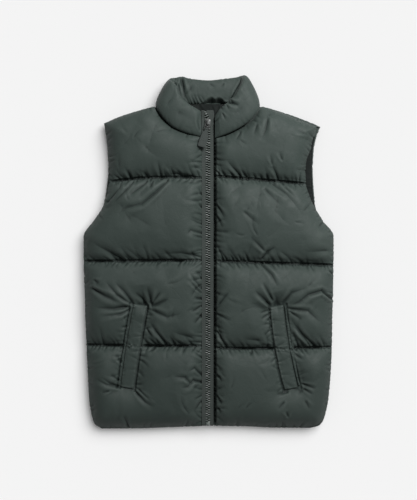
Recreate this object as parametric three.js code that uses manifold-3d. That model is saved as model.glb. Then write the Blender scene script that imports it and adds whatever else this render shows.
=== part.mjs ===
// A quilted puffer vest laid flat on its back, front up, zipped to the neck with the stand collar open.
// Millimetres. +Z is up from the table, +Y runs from the hem to the collar, and +X is the wearer's left.
// The origin is the middle of the footprint, on the table.
import * as THREE from "three";
import { mergeVertices } from "three/addons/utils/BufferGeometryUtils.js";
import Module from "manifold-3d";

const wasm = await Module();
wasm.setup();

// Driving sizes
const seamGap = 0.3;
const backTop = 21.4; // the back panel's plain inside, facing up
const frontUnder = 21.7; // the fronts' plain inside, facing down
const facingThick = 1.0;
const facingWidth = 7;
const crestZ = 53; // top of a full baffle
const quiltZ = 28.5; // bottom of a quilting line
const freeEdgeZ = 28; // widest level of the fronts' free edges
const zipEdgeZ = 34.5; // where a front is sewn to its zip tape
const neckEdgeZ = 32; // where a front is sewn to the collar
const tapeMidZ = 33;
const tapeThick = 1.2;
const zipCentreX = -1.5;
const halfChainWidth = 4.2;
const chainHeight = 4;
const weltLength = 183;
const weltWidth = 34;
const weltPuff = 6.5;
const weltBedZ = 38; // the front is stitched down to this level under a welt

// One row for each level of the vest, from the hem up: how far out from the centre line the edge lies.
const backEdge = {
  right: [
    { y: -386, out: 233 },
    { y: -381, out: 245 },
    { y: -372, out: 251.5 },
    { y: -350, out: 257 },
    { y: -320, out: 261 },
    { y: -240, out: 265 },
    { y: -100, out: 270.5 },
    { y: 0, out: 272.8 },
    { y: 34, out: 272.8 },
    { y: 48, out: 266 },
    { y: 62, out: 255 },
    { y: 88, out: 237.6 },
    { y: 101, out: 231 },
    { y: 141, out: 224 },
    { y: 180, out: 220.5 },
    { y: 220, out: 222 },
    { y: 260, out: 226.5 },
    { y: 282, out: 229.5 },
  ],
  left: [
    { y: -386, out: 222 },
    { y: -381, out: 240 },
    { y: -372, out: 249 },
    { y: -350, out: 256.5 },
    { y: -320, out: 262 },
    { y: -240, out: 268 },
    { y: -100, out: 271.5 },
    { y: 0, out: 272.8 },
    { y: 34, out: 272.8 },
    { y: 48, out: 266 },
    { y: 62, out: 253 },
    { y: 88, out: 238 },
    { y: 114, out: 233 },
    { y: 141, out: 230.5 },
    { y: 175, out: 229 },
    { y: 220, out: 231 },
    { y: 250, out: 236.5 },
    { y: 273, out: 246 },
  ],
};

// The fronts' armhole edges, where the back's facing shows beside them.
const frontArmhole = {
  right: [
    { y: 62, out: 254 },
    { y: 88, out: 235.5 },
    { y: 101, out: 228 },
    { y: 141, out: 219.5 },
    { y: 180, out: 216.5 },
    { y: 220, out: 219 },
    { y: 260, out: 225 },
    { y: 280, out: 228.5 },
  ],
  left: [
    { y: 62, out: 252.5 },
    { y: 88, out: 236 },
    { y: 101, out: 230 },
    { y: 124, out: 222 },
    { y: 150, out: 215.5 },
    { y: 180, out: 214.5 },
    { y: 228, out: 213.5 },
    { y: 274, out: 217 },
  ],
};

const hemLine = [
  { x: -233, y: -386.5 },
  { x: -150, y: -386 },
  { x: -80, y: -383.5 },
  { x: 0, y: -381.5 },
  { x: 80, y: -382 },
  { x: 150, y: -385 },
  { x: 222, y: -385.5 },
];

// Quilting lines of each front, at the zip, the middle of the front and the outer edge.
const quilting = {
  right: [
    { atZip: -205.5, atMiddle: -206, atEdge: -203.5 },
    { atZip: -17, atMiddle: -20, atEdge: -21 },
    { atZip: 161, atMiddle: 163, atEdge: 154 },
  ],
  left: [
    { atZip: -210.5, atMiddle: -211, atEdge: -207 },
    { atZip: -17, atMiddle: -20.5, atEdge: -28 },
    { atZip: 166, atMiddle: 161, atEdge: 153 },
  ],
};

const backQuilting = [-205, -24, 154];

// The seam between each front and the collar, from the zip out to the shoulder.
const neckSeam = {
  right: [
    { out: 14.3, y: 246.5 },
    { out: 44, y: 253.5 },
    { out: 73, y: 265 },
    { out: 99, y: 285 },
    { out: 112, y: 301 },
    { out: 120, y: 316 },
  ],
  left: [
    { out: 12.3, y: 243.5 },
    { out: 37, y: 250 },
    { out: 62, y: 261.5 },
    { out: 84, y: 274.5 },
    { out: 103, y: 292 },
    { out: 118, y: 316 },
  ],
};

const shoulderLine = {
  right: [
    { out: 120, y: 316 },
    { out: 150, y: 311 },
    { out: 185, y: 300 },
    { out: 228.5, y: 280 },
  ],
  left: [
    { out: 118, y: 316 },
    { out: 150, y: 308.5 },
    { out: 182, y: 296 },
    { out: 217, y: 274 },
  ],
};

// Largest folds of the fronts: from one end to the other, with width and depth.
const frontFolds = {
  right: [
    { fromX: -92, fromY: 158, toX: -209, toY: 79, wide: 9, deep: 5 },
    { fromX: -130, fromY: 156, toX: -178, toY: 122, wide: 7, deep: 3 },
    { fromX: -172, fromY: 152, toX: -209, toY: 108, wide: 7, deep: 3 },
    { fromX: -172, fromY: -112, toX: -250, toY: -60, wide: 9, deep: 5 },
    { fromX: -172, fromY: -118, toX: -262, toY: -112, wide: 8, deep: 4 },
    { fromX: -145, fromY: -112, toX: -165, toY: -72, wide: 8, deep: 4 },
    { fromX: -127, fromY: -118, toX: -88, toY: -92, wide: 9, deep: 4 },
    { fromX: -126, fromY: -135, toX: -92, toY: -198, wide: 8, deep: 5 },
    { fromX: -122, fromY: -130, toX: -45, toY: -186, wide: 10, deep: 4 },
    { fromX: -195, fromY: -300, toX: -250, toY: -276, wide: 8, deep: 4 },
    { fromX: -160, fromY: -308, toX: -105, toY: -356, wide: 9, deep: 4 },
    { fromX: -20, fromY: -322, toX: -68, toY: -304, wide: 8, deep: 4 },
  ],
  left: [
    { fromX: 38, fromY: 196, toX: 70, toY: 164, wide: 8, deep: 5 },
    { fromX: 134, fromY: 192, toX: 154, toY: 165, wide: 7, deep: 4 },
    { fromX: 112, fromY: -22, toX: 142, toY: 6, wide: 8, deep: 4 },
    { fromX: 124, fromY: -28, toX: 149, toY: -72, wide: 8, deep: 4 },
    { fromX: 96, fromY: -84, toX: 132, toY: -116, wide: 8, deep: 5 },
    { fromX: 172, fromY: -118, toX: 230, toY: -84, wide: 9, deep: 5 },
    { fromX: 174, fromY: -124, toX: 250, toY: -158, wide: 9, deep: 4 },
    { fromX: 174, fromY: -134, toX: 228, toY: -198, wide: 8, deep: 5 },
    { fromX: 16, fromY: -166, toX: 42, toY: -206, wide: 8, deep: 5 },
    { fromX: 200, fromY: -300, toX: 244, toY: -302, wide: 8, deep: 3 },
  ],
};

// Pocket welts: middle of the top end, and the lean of the long axis away from upright.
const welts = {
  right: { topX: -150, topY: -117, lean: -9 },
  left: { topX: 152.5, topY: -119.5, lean: 9.5 },
};

// Stand collar, from the zip round the wearer's right, the back of the neck and the left, back to the zip.
// Each row gives the seam end and the top end of the band's middle line there, and how thick the band puffs.
const collarStations = [
  { baseX: -16, baseY: 248.5, baseZ: 34, topX: -17, topY: 303, topZ: 39, thick: 9 },
  { baseX: -30, baseY: 251.5, baseZ: 36.5, topX: -26, topY: 309, topZ: 41, thick: 19 },
  { baseX: -52, baseY: 257.5, baseZ: 38, topX: -42, topY: 318, topZ: 42, thick: 22 },
  { baseX: -78, baseY: 269.5, baseZ: 39, topX: -58, topY: 333, topZ: 42, thick: 23 },
  { baseX: -98, baseY: 288, baseZ: 38, topX: -68, topY: 352, topZ: 41, thick: 23 },
  { baseX: -109, baseY: 303, baseZ: 35, topX: -77, topY: 366, topZ: 37, thick: 23 },
  { baseX: -112.5, baseY: 314, baseZ: 25, topX: -81, topY: 372, topZ: 25, thick: 23 },
  { baseX: -106, baseY: 319.5, baseZ: 13.5, topX: -74, topY: 376, topZ: 13, thick: 22 },
  { baseX: -84, baseY: 321.5, baseZ: 10.5, topX: -60, topY: 379.5, topZ: 10.5, thick: 22 },
  { baseX: -45, baseY: 322.5, baseZ: 10.5, topX: -34, topY: 376.5, topZ: 10.5, thick: 23 },
  { baseX: 0, baseY: 323, baseZ: 10.5, topX: 0, topY: 373.5, topZ: 10.5, thick: 23 },
  { baseX: 45, baseY: 322.5, baseZ: 10.5, topX: 34, topY: 376, topZ: 10.5, thick: 23 },
  { baseX: 84, baseY: 321.5, baseZ: 10.5, topX: 60, topY: 380.5, topZ: 10.5, thick: 22 },
  { baseX: 103, baseY: 319, baseZ: 13.5, topX: 72, topY: 379.5, topZ: 13, thick: 22 },
  { baseX: 109, baseY: 313, baseZ: 25, topX: 77, topY: 375.5, topZ: 25, thick: 23 },
  { baseX: 105.5, baseY: 302, baseZ: 35, topX: 73, topY: 366, topZ: 37, thick: 23 },
  { baseX: 94, baseY: 287, baseZ: 38, topX: 63, topY: 349, topZ: 41, thick: 23 },
  { baseX: 74, baseY: 271.5, baseZ: 39, topX: 50, topY: 331, topZ: 41, thick: 23 },
  { baseX: 50, baseY: 258.5, baseZ: 38, topX: 36, topY: 318, topZ: 41, thick: 22 },
  { baseX: 27, baseY: 249.5, baseZ: 36, topX: 23, topY: 308, topZ: 40, thick: 19 },
  { baseX: 14, baseY: 246, baseZ: 34, topX: 14.5, topY: 302, topZ: 38, thick: 9 },
];

// Zip tapes: the sewn edge and the teeth edge, measured outwards from the zip's own line, level by level.
const tapeRows = {
  right: [
    { y: -380, teeth: 4.8, sewn: 12.4, z: tapeMidZ },
    { y: 244, teeth: 4.8, sewn: 12.4, z: tapeMidZ },
    { y: 270, teeth: 4.8, sewn: 12.5, z: tapeMidZ },
    { y: 281, teeth: 6.6, sewn: 12.6, z: tapeMidZ },
    { y: 289, teeth: 8.4, sewn: 13.0, z: tapeMidZ },
    { y: 296, teeth: 9.4, sewn: 13.2, z: 34.8 },
    { y: 303, teeth: 10.2, sewn: 13.4, z: 37.6 },
  ],
  left: [
    { y: -380, teeth: 4.8, sewn: 13.4, z: tapeMidZ },
    { y: 244, teeth: 4.8, sewn: 13.4, z: tapeMidZ },
    { y: 270, teeth: 4.8, sewn: 13.5, z: tapeMidZ },
    { y: 281, teeth: 6.6, sewn: 13.6, z: tapeMidZ },
    { y: 289, teeth: 8.4, sewn: 13.7, z: tapeMidZ },
    { y: 296, teeth: 9.4, sewn: 13.8, z: 34.6 },
    { y: 302, teeth: 10.2, sewn: 13.9, z: 36.6 },
  ],
};

const slider = { y: 278, length: 20, width: 13, plate: 1.6, bridgeLength: 11, bridgeWidth: 3.4, bridgeRise: 4.4 };
const pullRing = { wire: 1.6, innerWidth: 8, length: 12, z: 38.55, yaw: -15, lift: 3 };
const pullTab = { length: 42, topWidth: 13, endWidth: 18.5, thick: 2.2, headWidth: 6.6, lift: 7, roll: 5 };
const tabEye = { bore: 1.35, wall: 1.3 };

const signOf = { right: -1, left: 1 };

const shellCloth = new THREE.MeshStandardMaterial({ color: 0x46504d, roughness: 0.5, metalness: 0 });
const facingCloth = new THREE.MeshStandardMaterial({ color: 0x3a403e, roughness: 0.65, metalness: 0 });
const tapeCloth = new THREE.MeshStandardMaterial({ color: 0x3c4542, roughness: 0.85, metalness: 0 });
const teethPlastic = new THREE.MeshStandardMaterial({ color: 0x39403e, roughness: 0.4, metalness: 0 });
const sliderMetal = new THREE.MeshStandardMaterial({ color: 0x8b918f, roughness: 0.35, metalness: 0.9 });
const tabRubber = new THREE.MeshStandardMaterial({ color: 0x333b39, roughness: 0.7, metalness: 0 });

const clamp01 = (t) => Math.min(1, Math.max(0, t));
const mix = (a, b, t) => a + (b - a) * t;

// Smooth curve through a table: value of one column where another column equals `at`.
function readTable(table, inColumn, outColumn, at) {
  const rising = table[0][inColumn] < table[table.length - 1][inColumn];
  const rows = rising ? table : [...table].reverse();
  const x = THREE.MathUtils.clamp(at, rows[0][inColumn], rows[rows.length - 1][inColumn]);
  let i = 0;
  while (i < rows.length - 2 && x > rows[i + 1][inColumn]) i += 1;
  const slope = (a, b) => (b[outColumn] - a[outColumn]) / (b[inColumn] - a[inColumn]);
  const here = slope(rows[i], rows[i + 1]);
  const before = i > 0 ? slope(rows[i - 1], rows[i]) : here;
  const after = i < rows.length - 2 ? slope(rows[i + 1], rows[i + 2]) : here;
  const gentle = (a, b) => (a * b <= 0 ? 0 : (2 * a * b) / (a + b));
  const step = rows[i + 1][inColumn] - rows[i][inColumn];
  const t = (x - rows[i][inColumn]) / step;
  const startSlope = i > 0 ? gentle(before, here) : here;
  const endSlope = i < rows.length - 2 ? gentle(here, after) : here;
  return (
    rows[i][outColumn] * (2 * t ** 3 - 3 * t ** 2 + 1) +
    startSlope * step * (t ** 3 - 2 * t ** 2 + t) +
    rows[i + 1][outColumn] * (-2 * t ** 3 + 3 * t ** 2) +
    endSlope * step * (t ** 3 - t ** 2)
  );
}

// Shares from 0 to 1 that lie closer together towards both ends.
function crowdedShares(count, crowding) {
  return Array.from({ length: count + 1 }, (_, i) => {
    const even = i / count;
    return mix(even, 0.5 - 0.5 * Math.cos(Math.PI * even), crowding);
  });
}

// Collects points and faces of one closed surface.
class Surface {
  constructor() {
    this.points = [];
    this.faces = [];
  }
  point(x, y, z) {
    this.points.push(x, y, z);
    return this.points.length / 3 - 1;
  }
  triangle(a, b, c) {
    this.faces.push(a, b, c);
  }
  quad(a, b, c, d) {
    this.triangle(a, b, c);
    this.triangle(a, c, d);
  }
  // Joins two closed rings of the same count; the second lies outside or above the first.
  band(lower, upper) {
    lower.forEach((a, i) => {
      const next = (i + 1) % lower.length;
      this.quad(a, lower[next], upper[next], upper[i]);
    });
  }
  // Closes a ring of points with a flat cap that faces up or down.
  cap(ring, up) {
    const flat = ring.map((i) => new THREE.Vector2(this.points[3 * i], this.points[3 * i + 1]));
    for (const [a, b, c] of THREE.ShapeUtils.triangulateShape(flat, [])) {
      if (up) this.triangle(ring[a], ring[b], ring[c]);
      else this.triangle(ring[a], ring[c], ring[b]);
    }
  }
  mesh(name, material) {
    const geometry = new THREE.BufferGeometry();
    geometry.setAttribute("position", new THREE.Float32BufferAttribute(this.points, 3));
    geometry.setIndex(this.faces);
    geometry.computeVertexNormals();
    const made = new THREE.Mesh(geometry, material);
    made.name = name;
    return made;
  }
}

function distanceToLine(x, y, line) {
  let nearest = Infinity;
  for (let i = 0; i < line.length - 1; i += 1) {
    const dx = line[i + 1].x - line[i].x;
    const dy = line[i + 1].y - line[i].y;
    const share = clamp01(((x - line[i].x) * dx + (y - line[i].y) * dy) / (dx * dx + dy * dy || 1));
    nearest = Math.min(nearest, Math.hypot(x - line[i].x - share * dx, y - line[i].y - share * dy));
  }
  return nearest;
}

// Plan of a front: u runs from the zip to the outer edge, v counts baffles up from the hem (0 to 4).
const baffles = 4;
const neckShare = 0.52; // part of a front's top row that lies on the neck seam

function zipEdgeX(side) {
  return signOf[side] * neckSeam[side][0].out;
}

function outerEdge(side, y) {
  const armholeStart = frontArmhole[side][0].y;
  const table = y < armholeStart ? backEdge[side] : frontArmhole[side];
  const out = readTable(table, "y", "out", y);
  return y < armholeStart ? out - clamp01((y - armholeStart + 30) / 30) : out;
}

function rowHeight(side, row, u) {
  if (row === 0) {
    const x = mix(zipEdgeX(side), signOf[side] * 234, u);
    return readTable(hemLine, "x", "y", x);
  }
  const line = quilting[side][row - 1];
  const middle = line.atMiddle - (line.atZip + line.atEdge) / 2;
  return mix(line.atZip, line.atEdge, u) + middle * 4 * u * (1 - u);
}

function topEdge(side, u) {
  const onNeck = u <= neckShare;
  const table = onNeck ? neckSeam[side] : shoulderLine[side];
  const share = onNeck ? u / neckShare : (u - neckShare) / (1 - neckShare);
  const out = mix(table[0].out, table[table.length - 1].out, share);
  return { x: signOf[side] * out, y: readTable(table, "out", "y", out) };
}

function quiltedRow(side, v, u) {
  const row = Math.min(Math.floor(v), baffles - 2);
  const share = v - row;
  const yAt = (where) => mix(rowHeight(side, row, where), rowHeight(side, row + 1, where), share);
  const x = mix(zipEdgeX(side), signOf[side] * outerEdge(side, yAt(1)), u);
  return { x, y: yAt(u) };
}

function frontPlan(side, u, v) {
  const yokeStart = baffles - 1;
  if (v <= yokeStart) return quiltedRow(side, v, u);
  const w = v - yokeStart;
  const low = quiltedRow(side, yokeStart, u);
  const lowIn = quiltedRow(side, yokeStart, 0);
  const lowOut = quiltedRow(side, yokeStart, 1);
  const high = topEdge(side, u);
  const highIn = topEdge(side, 0);
  const highOut = topEdge(side, 1);
  const armY = mix(lowOut.y, highOut.y, w);
  const arm = { x: signOf[side] * outerEdge(side, armY), y: armY };
  const zip = { x: mix(lowIn.x, highIn.x, w), y: mix(lowIn.y, highIn.y, w) };
  const blend = (axis) =>
    mix(low[axis], high[axis], w) +
    mix(zip[axis], arm[axis], u) -
    mix(mix(lowIn[axis], highIn[axis], w), mix(lowOut[axis], highOut[axis], w), u);
  return { x: blend("x"), y: blend("y") };
}

// The seams and edges that hold a front down, as lines in plan.
function seamLines(side) {
  const across = crowdedShares(24, 0);
  const upward = crowdedShares(64, 0).map((t) => t * baffles);
  return {
    hem: across.map((u) => frontPlan(side, u, 0)),
    outer: upward.map((v) => frontPlan(side, 1, v)),
    shoulder: across.map((u) => topEdge(side, mix(neckShare, 1, u))),
    neck: across.map((u) => topEdge(side, neckShare * u)),
    zip: upward.map((v) => frontPlan(side, 0, v)),
    quilts: [1, 2, 3].map((row) => across.map((u) => frontPlan(side, u, row))),
  };
}

const seams = { right: seamLines("right"), left: seamLines("left") };

// How far the padding has risen at a distance from a seam.
const rise = (distance, reach, roundness) => 1 - (1 - clamp01(distance / reach)) ** roundness;

function weltFrame(side) {
  const { topX, topY, lean } = welts[side];
  const angle = THREE.MathUtils.degToRad(lean);
  return { topX, topY, down: { x: Math.sin(angle), y: -Math.cos(angle) } };
}

// Position in a welt's own axes: along it from its top end, and across it, outwards from its middle.
function inWelt(side, x, y) {
  const { topX, topY, down } = weltFrame(side);
  const dx = x - topX;
  const dy = y - topY;
  return { along: dx * down.x + dy * down.y, across: (dx * -down.y + dy * down.x) * signOf[side] };
}

function distanceToWelt(side, x, y) {
  const { along, across } = inWelt(side, x, y);
  const past = Math.max(-along, along - weltLength, 0);
  const aside = Math.max(Math.abs(across) - weltWidth / 2, 0);
  return Math.hypot(past, aside);
}

function foldDepth(side, x, y) {
  return frontFolds[side].reduce((sum, fold) => {
    const ends = [
      { x: fold.fromX, y: fold.fromY },
      { x: fold.toX, y: fold.toY },
    ];
    const reach = distanceToLine(x, y, ends) / fold.wide;
    return sum + fold.deep * Math.exp(-reach * reach);
  }, 0);
}

function frontTop(side, x, y) {
  const line = seams[side];
  const free = Math.min(
    distanceToLine(x, y, line.hem),
    distanceToLine(x, y, line.outer),
    distanceToLine(x, y, line.shoulder),
  );
  const zip = distanceToLine(x, y, line.zip);
  const neck = distanceToLine(x, y, line.neck);
  const quilt = Math.min(...line.quilts.map((q) => distanceToLine(x, y, q)));
  const full = rise(free, 46, 2.4) * rise(zip, 34, 2.4) * rise(neck, 38, 2.4) * rise(quilt, 62, 2.6);
  const held =
    freeEdgeZ +
    (quiltZ - freeEdgeZ) * rise(free, 20, 2) +
    (zipEdgeZ - quiltZ) * Math.exp(-zip / 24) +
    (neckEdgeZ - quiltZ) * Math.exp(-neck / 24);
  const puffed = held + (crestZ - held) * full - foldDepth(side, x, y) * full;
  const bed = mix(weltBedZ - 2, puffed, rise(distanceToWelt(side, x, y) - 2, 46, 2.2));
  return Math.min(puffed, bed);
}

const frontColumns = crowdedShares(22, 0.5);
const baffleShares = crowdedShares(10, 0.55);
const frontRows = [0, 1, 2, 3].flatMap((row) => baffleShares.slice(row ? 1 : 0).map((t) => row + t));

// Moves each point of a closed plan ring inwards, at right angles to the ring.
function insetRing(ring, inset) {
  return ring.map((p, i) => {
    const before = ring[(i + ring.length - 1) % ring.length];
    const after = ring[(i + 1) % ring.length];
    const dx = after.x - before.x;
    const dy = after.y - before.y;
    const long = Math.hypot(dx, dy) || 1;
    const by = typeof inset === "function" ? inset(p) : inset;
    return { x: p.x - (dy / long) * by, y: p.y + (dx / long) * by };
  });
}

// The plain inside of a front meets the zip and the seams, and stands back from the open armhole.
function underInset(side, p) {
  if (Math.abs(p.x - zipEdgeX(side)) < 1) return 0;
  const sewn = 4;
  const atArmhole = 16;
  const intoArmhole = Math.min(p.y - 52, 282 - p.y) / 30;
  return Math.abs(p.x) > 200 ? mix(sewn, atArmhole, clamp01(intoArmhole)) : sewn;
}

function buildFront(side) {
  const surface = new Surface();
  const last = frontColumns.length - 1;
  const grid = frontRows.map((v) =>
    frontColumns.map((u) => {
      const p = frontPlan(side, u, v);
      return surface.point(p.x, p.y, frontTop(side, p.x, p.y));
    }),
  );
  const mirrored = signOf[side] < 0;
  for (let r = 0; r < grid.length - 1; r += 1) {
    for (let c = 0; c < last; c += 1) {
      const corners = [grid[r][c], grid[r][c + 1], grid[r + 1][c + 1], grid[r + 1][c]];
      if (mirrored) corners.reverse();
      surface.quad(...corners);
    }
  }
  const rim = [
    ...grid[0].slice(0, last),
    ...grid.slice(0, -1).map((row) => row[last]),
    ...grid[grid.length - 1].slice(1).reverse(),
    ...grid.slice(1).map((row) => row[0]).reverse(),
  ];
  if (mirrored) rim.reverse();
  const plan = rim.map((i) => ({ x: surface.points[3 * i], y: surface.points[3 * i + 1] }));
  const under = insetRing(plan, (p) => underInset(side, p)).map((p) => surface.point(p.x, p.y, frontUnder));
  surface.band(under, rim);
  surface.cap(under, false);
  return surface.mesh(`front_${side}`, shellCloth);
}

// Outline of the back in plan, anticlockwise from the hem corner on the wearer's right.
function backOutline() {
  const spread = (table, columnIn, columnOut, count, make) => {
    const from = table[0][columnIn];
    const to = table[table.length - 1][columnIn];
    return crowdedShares(count, 0.2).map((t) => {
      const at = mix(from, to, t);
      return make(at, readTable(table, columnIn, columnOut, at));
    });
  };
  const hem = spread(hemLine, "x", "y", 22, (x, y) => ({ x, y }));
  const edge = (side) => spread(backEdge[side], "y", "out", 44, (y, out) => ({ x: signOf[side] * out, y }));
  const tip = (side) => {
    const rows = backEdge[side];
    return rows[rows.length - 1];
  };
  const shoulder = (side) => {
    const neckOut = neckSeam[side][neckSeam[side].length - 1].out;
    return crowdedShares(7, 0).slice(1).map((t) => {
      const out = mix(tip(side).out, neckOut, t);
      const bow = 7 * Math.sin(Math.PI * t);
      return { x: signOf[side] * out, y: mix(tip(side).y, 317.5, t) + bow };
    });
  };
  const neck = crowdedShares(10, 0).slice(1, -1).map((t) => ({ x: mix(118, -120, t), y: 317.5 + 3 * Math.sin(Math.PI * t) }));
  return [
    ...hem,
    ...edge("left").slice(1),
    ...shoulder("left"),
    ...neck,
    ...shoulder("right").reverse(),
    ...edge("right").slice(1).reverse(),
  ];
}

// The back panel: a padded layer with a flat underside, rounded edges and a plain flat inside.
function buildBack() {
  const surface = new Surface();
  const outline = backOutline();
  const levels = [
    { z: 0, inset: 13, pinch: 9 },
    { z: 2.2, inset: 6, pinch: 7 },
    { z: 6.5, inset: 1.6, pinch: 4 },
    { z: 12, inset: 0, pinch: 1 },
    { z: 17.5, inset: 1.2, pinch: 1 },
    { z: backTop, inset: 5, pinch: 0 },
  ];
  const pinched = (p) => Math.max(...backQuilting.map((y) => Math.exp(-(((p.y - y) / 11) ** 2))));
  const rings = levels.map(({ z, inset, pinch }) =>
    insetRing(outline, (p) => inset + pinch * pinched(p)).map((p) => surface.point(p.x, p.y, z)),
  );
  for (let i = 0; i < rings.length - 1; i += 1) surface.band(rings[i], rings[i + 1]);
  surface.cap(rings[0], false);
  surface.cap(rings[rings.length - 1], true);
  return surface.mesh("back", shellCloth);
}

// The stand collar: an oval padded section carried round the neck, flat where it rests on the table.
function buildCollar() {
  const surface = new Surface();
  const column = (axis) =>
    new THREE.CatmullRomCurve3(
      collarStations.map((s) => new THREE.Vector3(s[`${axis}X`], s[`${axis}Y`], s[`${axis}Z`])),
      false,
      "centripetal",
    );
  const base = column("base");
  const top = column("top");
  const sections = 60;
  const around = 20;
  const thickAt = (t) => {
    const at = t * (collarStations.length - 1);
    const i = Math.min(Math.floor(at), collarStations.length - 2);
    return mix(collarStations[i].thick, collarStations[i + 1].thick, at - i);
  };
  const middle = (t) => base.getPoint(t).lerp(top.getPoint(t), 0.5);
  const rings = [];
  for (let s = 0; s <= sections; s += 1) {
    const t = s / sections;
    const foot = base.getPoint(t);
    const ruling = top.getPoint(t).sub(foot);
    const tangent = middle(Math.min(1, t + 0.01)).sub(middle(Math.max(0, t - 0.01)));
    const outward = ruling.clone().cross(tangent).normalize();
    rings.push(
      Array.from({ length: around }, (_, k) => {
        const angle = (2 * Math.PI * k) / around;
        const along = 0.5 - 0.5 * Math.sign(Math.cos(angle)) * Math.abs(Math.cos(angle)) ** 0.8;
        const puff = Math.sign(Math.sin(angle)) * Math.abs(Math.sin(angle)) ** 0.7;
        const p = foot.clone().addScaledVector(ruling, along).addScaledVector(outward, (puff * thickAt(t)) / 2);
        return surface.point(p.x, p.y, Math.max(p.z, 0));
      }),
    );
  }
  for (let s = 0; s < sections; s += 1) surface.band(rings[s], rings[s + 1]);
  const fan = (ring, forward) => {
    for (let k = 1; k < around - 1; k += 1) {
      if (forward) surface.triangle(ring[0], ring[k], ring[k + 1]);
      else surface.triangle(ring[0], ring[k + 1], ring[k]);
    }
  };
  fan(rings[0], false);
  fan(rings[sections], true);
  return surface.mesh("collar", shellCloth);
}

// Level of a built mesh's upper faces over one point of the plan.
function topOfMesh(mesh, x, y) {
  const p = mesh.geometry.attributes.position;
  const index = mesh.geometry.index;
  let best = -Infinity;
  for (let f = 0; f < index.count; f += 3) {
    const [a, b, c] = [index.getX(f), index.getX(f + 1), index.getX(f + 2)];
    const ax = p.getX(a);
    const ay = p.getY(a);
    const area = (p.getX(b) - ax) * (p.getY(c) - ay) - (p.getX(c) - ax) * (p.getY(b) - ay);
    if (area <= 1e-9) continue;
    const s = ((x - ax) * (p.getY(c) - ay) - (p.getX(c) - ax) * (y - ay)) / area;
    const t = ((p.getX(b) - ax) * (y - ay) - (x - ax) * (p.getY(b) - ay)) / area;
    if (s < -1e-6 || t < -1e-6 || s + t > 1 + 1e-6) continue;
    best = Math.max(best, p.getZ(a) + s * (p.getZ(b) - p.getZ(a)) + t * (p.getZ(c) - p.getZ(a)));
  }
  return best;
}

// A strip that lies on a front: its top is the front's surface moved out, and puffs up.
function buildStrip(name, side, front, { from, to, fromAcross, toAcross, lift, puff, lengthSteps, widthSteps }) {
  const surface = new Surface();
  const sunk = 2; // cut away again where it meets the front
  const { topX, topY, down } = weltFrame(side);
  const lengthShares = crowdedShares(lengthSteps, 0.3);
  const widthShares = crowdedShares(widthSteps, 0.4);
  const layers = [0, 1].map((upper) =>
    lengthShares.map((s) =>
      widthShares.map((t) => {
        const along = mix(from, to, s);
        const across = mix(fromAcross, toAcross, t) * signOf[side];
        const x = topX + down.x * along - down.y * across;
        const y = topY + down.y * along + down.x * across;
        const swell = puff * (4 * t * (1 - t)) ** 0.5 * Math.min(1, (12 * s * (1 - s)) ** 0.5);
        return surface.point(x, y, topOfMesh(front, x, y) + (upper ? lift + 1.2 + swell : -sunk));
      }),
    ),
  );
  const flip = signOf[side] > 0;
  const face = (a, b, c, d) => (flip ? surface.quad(a, b, c, d) : surface.quad(d, c, b, a));
  for (let i = 0; i < lengthSteps; i += 1) {
    for (let j = 0; j < widthSteps; j += 1) {
      const [low, high] = layers;
      face(high[i + 1][j], high[i + 1][j + 1], high[i][j + 1], high[i][j]);
      face(low[i][j], low[i][j + 1], low[i + 1][j + 1], low[i + 1][j]);
    }
  }
  for (let i = 0; i < lengthSteps; i += 1) {
    const [low, high] = layers;
    face(low[i + 1][0], high[i + 1][0], high[i][0], low[i][0]);
    face(low[i][widthSteps], high[i][widthSteps], high[i + 1][widthSteps], low[i + 1][widthSteps]);
  }
  for (let j = 0; j < widthSteps; j += 1) {
    const [low, high] = layers;
    face(low[0][j], high[0][j], high[0][j + 1], low[0][j + 1]);
    face(low[lengthSteps][j + 1], high[lengthSteps][j + 1], high[lengthSteps][j], low[lengthSteps][j]);
  }
  return surface.mesh(name, shellCloth);
}

// Cuts a strip's underside to the front it lies on, a small gap above it.
function seatOn(strip, front) {
  const raised = toSolid(front.geometry).translate([0, 0, seamGap + 0.15]);
  return fromSolid(toSolid(strip.geometry).subtract(raised), strip.name, strip.material);
}

function buildPocket(side, front) {
  const welt = buildStrip(`welt_${side}`, side, front, {
    from: 0,
    to: weltLength,
    fromAcross: -weltWidth / 2,
    toAcross: weltWidth / 2,
    lift: 0.6,
    puff: weltPuff,
    lengthSteps: 24,
    widthSteps: 6,
  });
  const lip = buildStrip(`pocket_lip_${side}`, side, front, {
    from: 4,
    to: weltLength - 6,
    fromAcross: weltWidth / 2 + 0.5,
    toAcross: weltWidth / 2 + 5.5,
    lift: 0.6,
    puff: 2,
    lengthSteps: 22,
    widthSteps: 3,
  });
  return [seatOn(welt, front), seatOn(lip, front)];
}

// A ribbon whose section is a rectangle, from rows that give both edges and the middle level.
function buildRibbon(name, rows, thick, material) {
  const surface = new Surface();
  const rings = rows.map(({ xLow, xHigh, y, z }) => [
    surface.point(xLow, y, z - thick / 2),
    surface.point(xHigh, y, z - thick / 2),
    surface.point(xHigh, y, z + thick / 2),
    surface.point(xLow, y, z + thick / 2),
  ]);
  for (let i = 0; i < rings.length - 1; i += 1) surface.band(rings[i + 1], rings[i]);
  const [a, b, c, d] = rings[0];
  surface.quad(a, b, c, d);
  const [e, f, g, h] = rings[rings.length - 1];
  surface.quad(h, g, f, e);
  return surface.mesh(name, material);
}

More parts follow.
